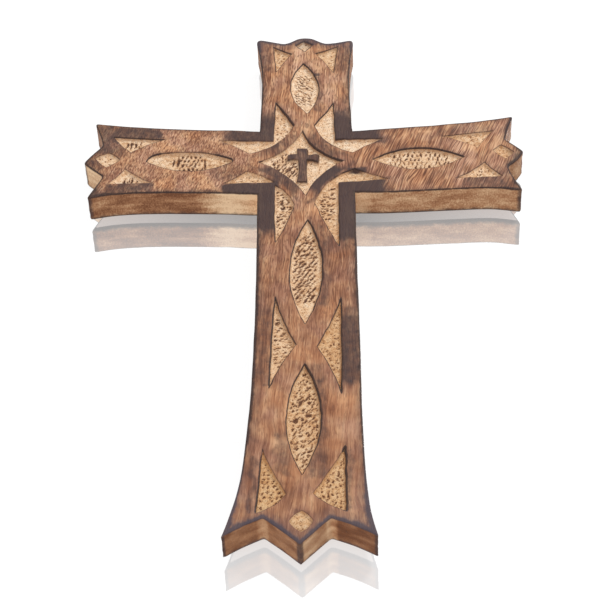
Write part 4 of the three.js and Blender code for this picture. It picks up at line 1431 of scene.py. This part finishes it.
class CarvedWood(Paint):
    """Burnt, sanded and carved wood. Lean is the grain's angle from upright, in degrees, streak
    its streaks' length in mm, tick that of its dark pores, waves how far it wanders, force how
    strong it shows, warmth how light the land is, patchy how much its tone varies from place to
    place, and stripes how strong the layers show on the sawn sides."""

    def __init__(self, name, seed, lean, streak, tick, waves, warmth, force, patchy, stripes):
        super().__init__(name, seed)
        self.warmth, self.force, self.patchy, self.stripes = warmth, force, patchy, stripes
        wander = self.noise(0, self.place, (14, 30, 14), 1)
        offset = self.node("ShaderNodeCombineXYZ", {0: self.centred(wander, waves)}).outputs[0]
        self.grain = self.turned(self.vector("ADD", self.place, offset), lean)
        self.fibre = self.noise(1, self.grain, (0.62, streak, 0.62), 2, 0.6)
        self.hair = self.noise(2, self.grain, (0.34, streak * 0.6, 0.34), 1)
        self.band = self.noise(3, self.grain, (3, streak * 6, 3))
        self.pore = self.noise(5, self.grain, (0.5, tick, 0.5), 0)
        self.tone, self.side = self.attribute("tone"), self.attribute("side")
        self.pale = self.attribute("pale")

        land = self.land()
        colour = self.mix(self.side, land, self.sawn())
        colour = self.mix(self.pale, colour, self.floor())
        colour = self.burnt(colour, land)
        colour = self.mix(self.attribute("back"), colour, self.planed())
        relief = self.add(self.times(self.fibre, 0.5),
                          self.times(self.span(self.pore, 0.55, 0.75), -0.6))
        rough = self.add(self.times(self.pale, 0.18), self.centred(self.fibre, 0.25), 0.54)
        self.finish(colour, rough, relief, 0.00012, Specular_IOR_Level=0.16)

    def land(self):
        """The front, sanded after the burning. Its grain fades towards the foot."""
        fade = self.span(self.row, 50, -90, 1, 0.45)
        cloud = self.noise(4, self.place, 8)
        fine = self.add(self.centred(self.fibre, 1.2 * self.force),
                        self.centred(self.hair, 1.1 * self.force))
        coarse = self.add(self.centred(self.band, 0.8 * self.patchy),
                          self.centred(cloud, 0.65 * self.patchy))
        slope = self.span(self.row, 80, -90, 0.56 + self.warmth, 0.47 + self.warmth)
        level = self.add(self.times(fine, fade), coarse, self.times(self.tone, 0.35), slope)
        colour = self.ramp(level, [(0, (98, 62, 46)), (0.28, (138, 93, 69)), (0.5, (172, 124, 94)),
                                   (0.74, (202, 156, 121)), (1, (230, 188, 150))])
        pores = self.times(self.span(self.pore, 0.58, 0.66, 0, 0.6 * self.force), fade)
        colour = self.mix(pores, colour, srgb(98, 62, 46))
        tint = self.ramp(self.noise(15, self.place, (9, 12, 9), 1), [
            (0.36, (244, 240, 248)), (0.5, (252, 249, 246)), (0.66, (255, 243, 231))])
        return self.mix(1, colour, tint, "MULTIPLY")

    def sawn(self):
        """The sides, with the wood's layers, and painted highlights at the foot's two notches."""
        run = self.noise(6, self.place, (26, 26, 1.8), 3, 0.55)
        dust = self.noise(7, self.place, (0.6, 0.6, 0.8))
        stain = self.noise(14, self.place, (9, 9, 4))
        dusty = self.times(self.centred(dust, 0.6), self.span(self.row, -60, -120, 1, 0.3))
        layers = self.add(self.centred(run, self.stripes), dusty)
        level = self.add(layers, self.add(self.centred(stain, 0.75), self.add(self.tone, 0.44)))
        return self.ramp(level, [(0, (84, 50, 34)), (0.3, (128, 82, 54)), (0.55, (176, 126, 90)),
                                 (0.8, (222, 180, 140)), (1, (248, 212, 172))])

    def floor(self):
        """The carved floors, left pale, with browned marks."""
        mottle = self.noise(8, self.place, 1.5, 3, 0.65)
        dapple = self.noise(9, self.place, 5, 1)
        level = self.add(self.centred(mottle, 1.9), self.centred(dapple, 0.6), self.tone, 0.62)
        colour = self.ramp(level, [(0, (186, 134, 92)), (0.35, (222, 180, 140)),
                                   (0.65, (242, 208, 172)), (1, (250, 226, 198))])
        aged = self.attribute("aged")
        colour = self.mix(aged, colour, srgb(222, 200, 164), "MULTIPLY")
        speck = self.noise(10, self.grain, (0.45, 0.6, 0.45), 1)
        colour = self.mix(self.span(speck, 0.57, 0.65, 0, 0.7), colour, srgb(136, 90, 58))
        ragged = self.noise(11, self.place, 0.55, 1)
        mark = self.add(self.attribute("pit"), self.centred(ragged, 0.9))
        colour = self.mix(self.span(mark, 0.14, 0.42, 0, 0.72), colour, srgb(146, 98, 66))
        deep = self.mix(aged, srgb(68, 42, 34), srgb(98, 60, 38))
        return self.mix(self.span(mark, 0.36, 0.72, 0, 0.92), colour, deep)

    def burnt(self, colour, land):
        """The burning: patches, and lines along every rim and edge, each with a brown border. The
        rims' borders, the walls' brown tint and the rim lines' extra width on the shaded side are
        painted shade, and so are the patches beside the shaft lenses.
        """
        smoke = self.noise(12, self.place, (2.6, 4, 2.6), 3, 0.6)
        flicker = self.noise(13, self.place, 1.1, 2, 0.6)
        rim, shade, strength = (self.attribute(name) for name in ("rim", "shade", "line"))
        within = self.times(rim, -1)
        # Painted shade: the walls on the shaded side are tinted brown
        wall = self.times(self.span(within, 1, 0.5, 0, 0.45),
                          self.times(shade, self.span(rim, 0, -0.1)))
        colour = self.mix(self.times(wall, strength), colour, srgb(150, 106, 76))

        # The rim lines are wider where the wall is shaded: painted shade on top of the burnt line
        line = self.times(self.width_share(rim, shade, strength, flicker, 0.16, 0.34, 0.4),
                          self.width_share(within, shade, strength, flicker, 0.06, 0.22, 0.25))
        line = self.times(self.span(line, 0, 0.4), self.math("MINIMUM", strength, 1))
        # Painted shade: a soft brown border on the land beside the rims of shaded walls
        border = self.times(self.span(rim, 0.2, 2.2, 0.4, 0),
                            self.times(shade, self.span(within, 0.1, 0)))
        border = self.times(border, strength)

        reach = self.math("DIVIDE", self.attribute("edge"), self.add(self.centred(smoke, 1.5), 1))
        edge = self.span(reach, 0.5, 1.4, 1, 0)
        halo = self.times(self.span(reach, 0.8, 3.6, 0.42, 0), self.span(self.side, 1, 0))
        # The burn patches, which beside the shaft lenses are painted shade
        patch = self.attribute("burn")
        ragged = self.times(self.times(patch, self.rest(patch)), self.centred(smoke, 5))
        patch = self.span(self.add(patch, ragged), 0, 0.95)
        soft = self.most(self.most(border, halo), self.times(patch, 0.96))
        share = self.most(self.most(self.times(line, 0.92), self.times(edge, 0.94)), soft)

        black = self.ramp(self.add(self.most(line, edge), self.centred(smoke, 0.3)),
                          [(0, (66, 52, 52)), (1, (42, 33, 35))])
        ends = self.most(self.span(self.row, -112, -132, 0, 0.75),
                         self.span(self.row, 138, 146, 0, 0.5))
        cool = self.times(ends, self.most(edge, self.times(halo, 2.4, True)))
        black = self.mix(0.03, self.mix(cool, black, srgb(82, 77, 88)), land)
        return self.mix(share, colour, black)

    def width_share(self, distance, shade, strength, flicker, shaded, plain, wavering):
        """How near a point is to a rim, from 0, at its burnt line's width, to 1. The width is the
        plain one, and grows with the shade and the line's strength."""
        width = self.add(self.times(shade, shaded), plain, self.centred(flicker, wavering))
        width = self.times(width, self.most(strength, 0.6))
        return self.rest(self.math("DIVIDE", self.most(distance, 0), width), True)

    def planed(self):
        """The back."""
        level = self.add(self.centred(self.fibre, 0.8), self.add(self.centred(self.band, 0.6), 0.5))
        return self.ramp(level, [(0, (150, 108, 78)), (0.5, (190, 148, 114)),
                                 (1, (222, 184, 148))])


def brushed_steel():
    g = Paint("bright_steel", 61)
    rub = g.noise(0, g.place, (3, 0.25, 3), 2, 0.6)
    dull = g.noise(1, g.place, 2)
    colour = g.ramp(g.add(g.centred(dull, 0.8), 0.5), [(0, (150, 150, 152)), (1, (204, 204, 206))])
    return g.finish(colour, g.add(g.centred(rub, 0.3), 0.3), rub, 0.00001, Metallic=1)


def turned_beech():
    g = Paint("beech_dowels", 71)
    pore = g.noise(0, g.place, (4, 0.5, 0.5))
    ring = g.noise(1, g.place, (30, 1.4, 1.4))
    colour = g.ramp(g.add(g.centred(ring, 1), g.add(g.centred(pore, 0.6), 0.5)),
                    [(0, (186, 142, 104)), (1, (228, 190, 150))])
    return g.finish(colour, g.add(g.centred(pore, 0.3), 0.6), pore, 0.00004)


# Stage

# How strongly the floor mirrors: beside the arms, and away from them towards the top and the foot
FLOOR_GLOSS = 0.67
FAINT_GLOSS = 0.36
FLOOR_ROUGHNESS = 0.025
FLOOR_WHITE = 1.4
# How far the floor lies under the cross, and its half size
CLEAR_SHEET = 2.6
FLOOR_HALF = 3000
CONTACT_SHADE_DROP = 0.05
# How strongly the world lights, where what the camera and the mirror see of it is 1
WORLD_LIGHT = 0.6
# The camera, as fitted to the photograph. The angles are in radians.
CAMERA_AIM = (-1.428, -10.938, 0.0)
CAMERA_AZIMUTH = 0.0411
CAMERA_ELEVATION = 0.7617
CAMERA_ROLL = -0.0459
CAMERA_DISTANCE = 865.09
CAMERA_LENS = 125
CAMERA_SENSOR = 36


def floor_material():
    """Pale and glossy. It is clear from below, so that the back can be seen."""
    g = Paint("stage_floor")
    fainter = g.most(g.span(g.row, -60, -130), g.span(g.row, 85, 115))
    share = g.span(fainter, 0, 1, FLOOR_GLOSS, FAINT_GLOSS)
    rays = g.node("ShaderNodeLightPath").outputs["Is Camera Ray"]
    matt = g.node("ShaderNodeBsdfDiffuse", {"Color": (0.9, 0.9, 0.9, 1)}).outputs[0]
    lit = g.mixed(g.times(rays, 0.55), matt, g.glow(WHITE, FLOOR_WHITE))
    gloss = g.node("ShaderNodeBsdfGlossy", {"Color": WHITE, "Roughness": FLOOR_ROUGHNESS})
    clear = g.node("ShaderNodeBsdfTransparent").outputs[0]
    below = g.node("ShaderNodeNewGeometry").outputs["Backfacing"]
    g.feed(g.surface, g.mixed(below, g.mixed(share, lit, gloss.outputs[0]), clear))
    return g.material


def add_floor():
    corners = [(x * FLOOR_HALF, y * FLOOR_HALF, -CLEAR_SHEET)
               for x, y in ((-1, -1), (1, -1), (1, 1), (-1, 1))]
    floor = placed("floor", new_mesh("floor", corners, [(0, 1, 2, 3)]))
    floor.data.materials.append(floor_material())
    floor.visible_diffuse = False
    floor.visible_shadow = False


def add_contact_shade(edge):
    """The dark under the cross, for the floor's reflection alone."""
    flat, faces = filled(NO_POINTS, edge)
    rows = lifted(flat + (0, CROSSING_Y), -CONTACT_SHADE_DROP)
    mesh = new_mesh("contact_shade", rows, faces.tolist())
    shade = placed("contact_shade", mesh)
    g = Paint("stage_contact_shade")
    out = g.most(g.span(g.math("ABSOLUTE", g.column), 25, 90), g.span(g.row, -80, -130))
    colour = g.mix(out, (0.12, 0.11, 0.11, 1), (0.46, 0.39, 0.36, 1))
    g.feed(g.surface, g.glow(colour, 1))
    mesh.materials.append(g.material)
    for rays in ("camera", "diffuse", "shadow", "transmission", "volume_scatter"):
        setattr(shade, f"visible_{rays}", False)


def add_world(scene):
    """White all round."""
    scene.world = bpy.data.worlds.new("studio")
    g = Graph(scene.world, "ShaderNodeOutputWorld")
    rays = g.node("ShaderNodeLightPath").outputs
    seen = g.most(rays["Is Camera Ray"], rays["Is Glossy Ray"])
    strength = g.span(seen, 0, 1, WORLD_LIGHT, 1)
    white = g.node("ShaderNodeBackground", {"Color": WHITE, "Strength": strength})
    g.feed(g.surface, white.outputs[0])


def add_lamp(name, place, size, power):
    """A soft square lamp that looks at the middle of the frame."""
    data = bpy.data.lights.new(name, "AREA")
    data.shape = "SQUARE"
    data.size = size * MM
    data.energy = power
    holder = placed(name, data)
    holder.location = [v * MM for v in place]
    holder.rotation_mode = "QUATERNION"
    holder.rotation_quaternion = (-holder.location).to_track_quat("-Z", "Y")


def add_camera(scene):
    side = math.cos(CAMERA_ELEVATION)
    back = Vector((math.sin(CAMERA_AZIMUTH) * side, -math.cos(CAMERA_AZIMUTH) * side,
                   math.sin(CAMERA_ELEVATION)))
    right = Vector((math.cos(CAMERA_AZIMUTH), math.sin(CAMERA_AZIMUTH), 0))
    up = back.cross(right)
    across, along = math.cos(CAMERA_ROLL), math.sin(CAMERA_ROLL)
    right, up = right * across + up * along, up * across - right * along
    data = bpy.data.cameras.new("camera")
    data.lens = CAMERA_LENS
    data.sensor_width = CAMERA_SENSOR
    scene.camera = placed("camera", data)
    place = (Vector(CAMERA_AIM) + back * CAMERA_DISTANCE) * MM
    turn = Matrix((right, up, back)).transposed().to_4x4()
    scene.camera.matrix_world = Matrix.Translation(place) @ turn


# The boards
whole, back_edge = carved_body()
add_contact_shade(back_edge)
body = bmesh.new()
body.from_mesh(whole)
for seam in SEAMS.values():
    cut_at(body, seam)
WOODS = {
    "upright": CarvedWood("wood_upright", 1, lean=2, streak=12, tick=2.6, waves=5,
                          warmth=-0.01, force=0.95, patchy=0.95, stripes=0.15),
    "left_arm": CarvedWood("wood_left_arm", 21, lean=12, streak=3, tick=2.1, waves=3,
                           warmth=0.03, force=1.05, patchy=0.65, stripes=0.5),
    "right_arm": CarvedWood("wood_right_arm", 41, lean=19, streak=11, tick=7.7, waves=4,
                            warmth=-0.05, force=1.15, patchy=0.9, stripes=0.22),
}
REGIONS = {
    "left_arm": SEAMS["left"].in_arm,
    "right_arm": SEAMS["right"].in_arm,
    "upright": lambda co: not SEAMS["left"].in_arm(co) and not SEAMS["right"].in_arm(co),
}
for name, wanted in REGIONS.items():
    slot = "wood_upright" if name == "upright" else "wood_arms"
    shown(f"{name}_carved", parted(body, name, wanted), "cross", name, WOODS[name].material)
body.free()

# The hanger
steel = brushed_steel()
shown("hanging_ring_wire", ring_wire(), "ring", "hanging_ring", steel)
for name, slot, soft in (("hanger_strap", "steel_strap", 0.18),
                         ("hanger_screw_1", "steel_screws", 0.08),
                         ("hanger_screw_2", "steel_screws", 0.08)):
    pressed = softened(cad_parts[name], soft)
    shown(f"{name}_pressed", pressed, "cross", name, steel)

# The dowels keep their own shapes
beech = turned_beech()
for side in ("left", "right"):
    for row in ("upper", "lower"):
        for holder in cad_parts[f"{side}_{row}_dowel"].material_slots:
            holder.material = beech

# The stage
scene = bpy.context.scene
scene.view_settings.view_transform = "Standard"
add_floor()
add_world(scene)
add_lamp("key_lamp", (650, 800, 950), size=350, power=9)
add_lamp("fill_lamp", (-300, -1100, 800), size=900, power=5)
add_camera(scene)
